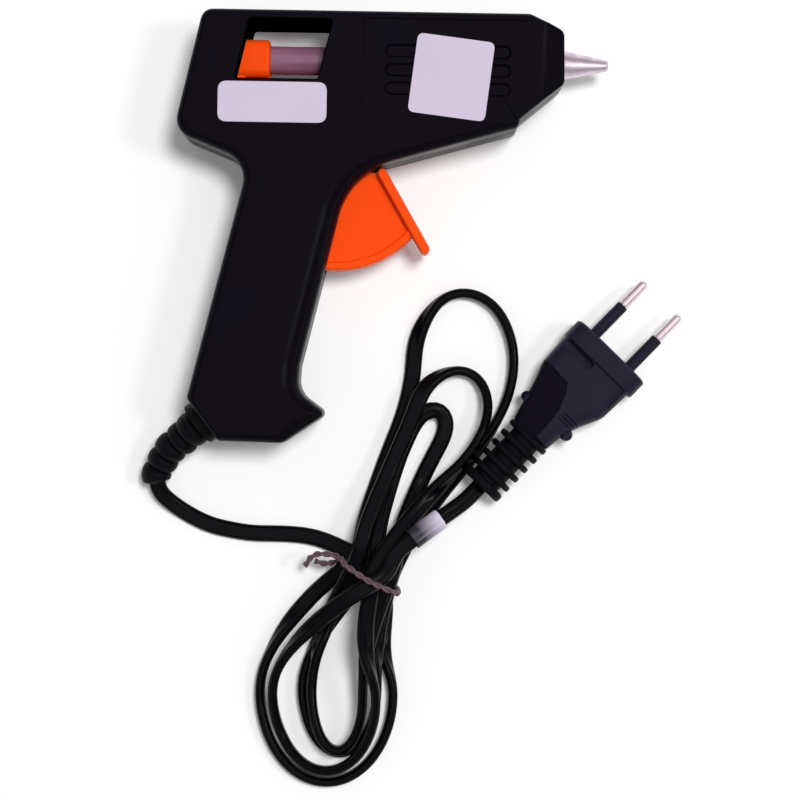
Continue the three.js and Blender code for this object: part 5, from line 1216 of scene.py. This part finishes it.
def ovalRing(x, left, right, tall, power):
    ring = []
    for k in range(plug["sides"]):
        angle = 2 * math.pi * (k + 0.5) / plug["sides"]
        c, s = math.cos(angle), math.sin(angle)
        wide = (right if c > 0 else left) * abs(c) ** power
        ring.append(Vector((x, math.copysign(wide, c), math.copysign(tall * abs(s) ** power, s))))
    return ring


def finMesh(x, half, rounding):
    wide, tall = plug["fin"]
    rings = [(x - half + back, inset) for inset, back in roundedEdge(rounding, 4)]
    rings += [(2 * x - at, inset) for at, inset in rings[::-1]]
    return skinOver([ovalRing(at, wide - inset, wide - inset, tall - inset, plug["finPower"])
                     for at, inset in rings])


bodyRings = []
for x, left, right, tall in plug["sections"]:
    power = plug["boxy"] + (plug["oval"] - plug["boxy"]) * smoothStep(x, plug["ovalFrom"], plug["ovalTo"])
    bodyRings.append(ovalRing(x, left, right, tall, power))
coreWide, coreTall = plug["core"]
coreMesh = skinOver([ovalRing(x, coreWide, coreWide, coreTall, 1) for x in plug["coreEnds"]])
fins = grown(finMesh(plug["finFirst"], plug["finHalf"], plug["rounding"]), repeatInRow,
             {"Count": plug["fins"], "Offset": (plug["finPitch"], 0, 0), "Material": plugPvc})
lastFin = finMesh(plugPlace["length"] - plug["lastHalf"], plug["lastHalf"], plug["lastRounding"])
knobs = [turned((*at, low), (*at, high), profile, 28) for at, low, high, profile in plug["knobs"]]


def openedAbove(points):
    # a cutter from an outline of places up to above the plug
    return skinOver([[Vector(place) for place in points],
                     [Vector((x, y, plug["above"])) for x, y, _ in points]])


lineEnds = (plug["lineAt"], plug["lineFrom"]), (plug["lineAt"], plug["lineTo"])
gripLine = openedAbove([(x, y, plug["lineDepth"] - plug["lineSlope"] * (y - plug["lineFrom"]))
                        for x, y in capsule(*lineEnds, plug["lineHalf"], 5)])
gripLines = grown(gripLine, repeatInRow,
                  {"Count": plug["lines"], "Offset": plug["lineStep"], "Material": plugPvc})
recesses = [prism(capsule(*plug[key]), plug["recessFloor"], plug["above"]) for key in ("recess", "seamLine")]
seatFrom, seatTo = pins["seatEnds"]
seats = [rod((seatFrom, y, 0), (seatTo, y, 0), pins["seat"]) for y in (-pins["across"], pins["across"])]
plugMesh = carved(skinOver(bodyRings), adding(coreMesh, fins, lastFin, *knobs)
                  + cutting(openedAbove(plug["facet"]), *recesses, gripLines, *seats))
front, axis = plugPlace["front"], plugPlace["axis"]
plugTurn = Matrix.Translation(front) @ Matrix.Rotation(math.atan2(axis.y, axis.x), 4, "Z")
plugMesh.transform(plugTurn)
plugPiece = finished("moulded_plug", plugMesh, "tool", "plug", ["plug_body"], sharp=32)


def onRibs(middle, normal):
    return (middle - front).dot(axis) > plug["finFirst"] - plug["finHalf"] - 0.4


# faces of the slope beside the ridge that lean to one side: they take the painted shade
def onShadedSlope(middle, normal):
    low, high = plug["facetEnds"]
    leans = normal.dot(Vector((-axis.y, axis.x, 0))) < -0.1
    return low < (middle - front).dot(axis) < high and leans and middle.z > front.z


dressedPartly(plugPiece, bootPvc, onRibs)
# the slope beside the ridge gets a darker copy of the PVC, painted shade
dressedPartly(plugPiece, slopeShadePvc, onShadedSlope)

# Pins: plated brass with round ends, half sleeved
for node, name, across in (("a", "left", -pins["across"]), ("b", "right", pins["across"])):
    ends = (pins["out"], across, 0), (pins["in"], across, 0)
    pinMesh = turned(*ends, pins["metal"], pins["sides"])
    coverMesh = turned(*ends, pins["cover"], pins["sides"], True)
    pinMesh.transform(plugTurn)
    coverMesh.transform(plugTurn)
    finished("pin_" + name, pinMesh, "tool", "steel", ["plug_pin_" + node], nickelBrass, sharp=50)
    finished("pin_sleeve_" + name, coverMesh, "tool", "plug", ["pin_sleeve_" + node], sharp=50)
tuple(cordMetres[0])
print("strain relief, plug and pins made")

# CAD nodes that keep their shape take their finish here
for node, slot in slotOf.items():
    if node in bpy.data.objects:
        piece = bpy.data.objects[node]
        piece.data.materials.clear()
        piece.data.materials.append(slotLook[slot])
print("finishes given")
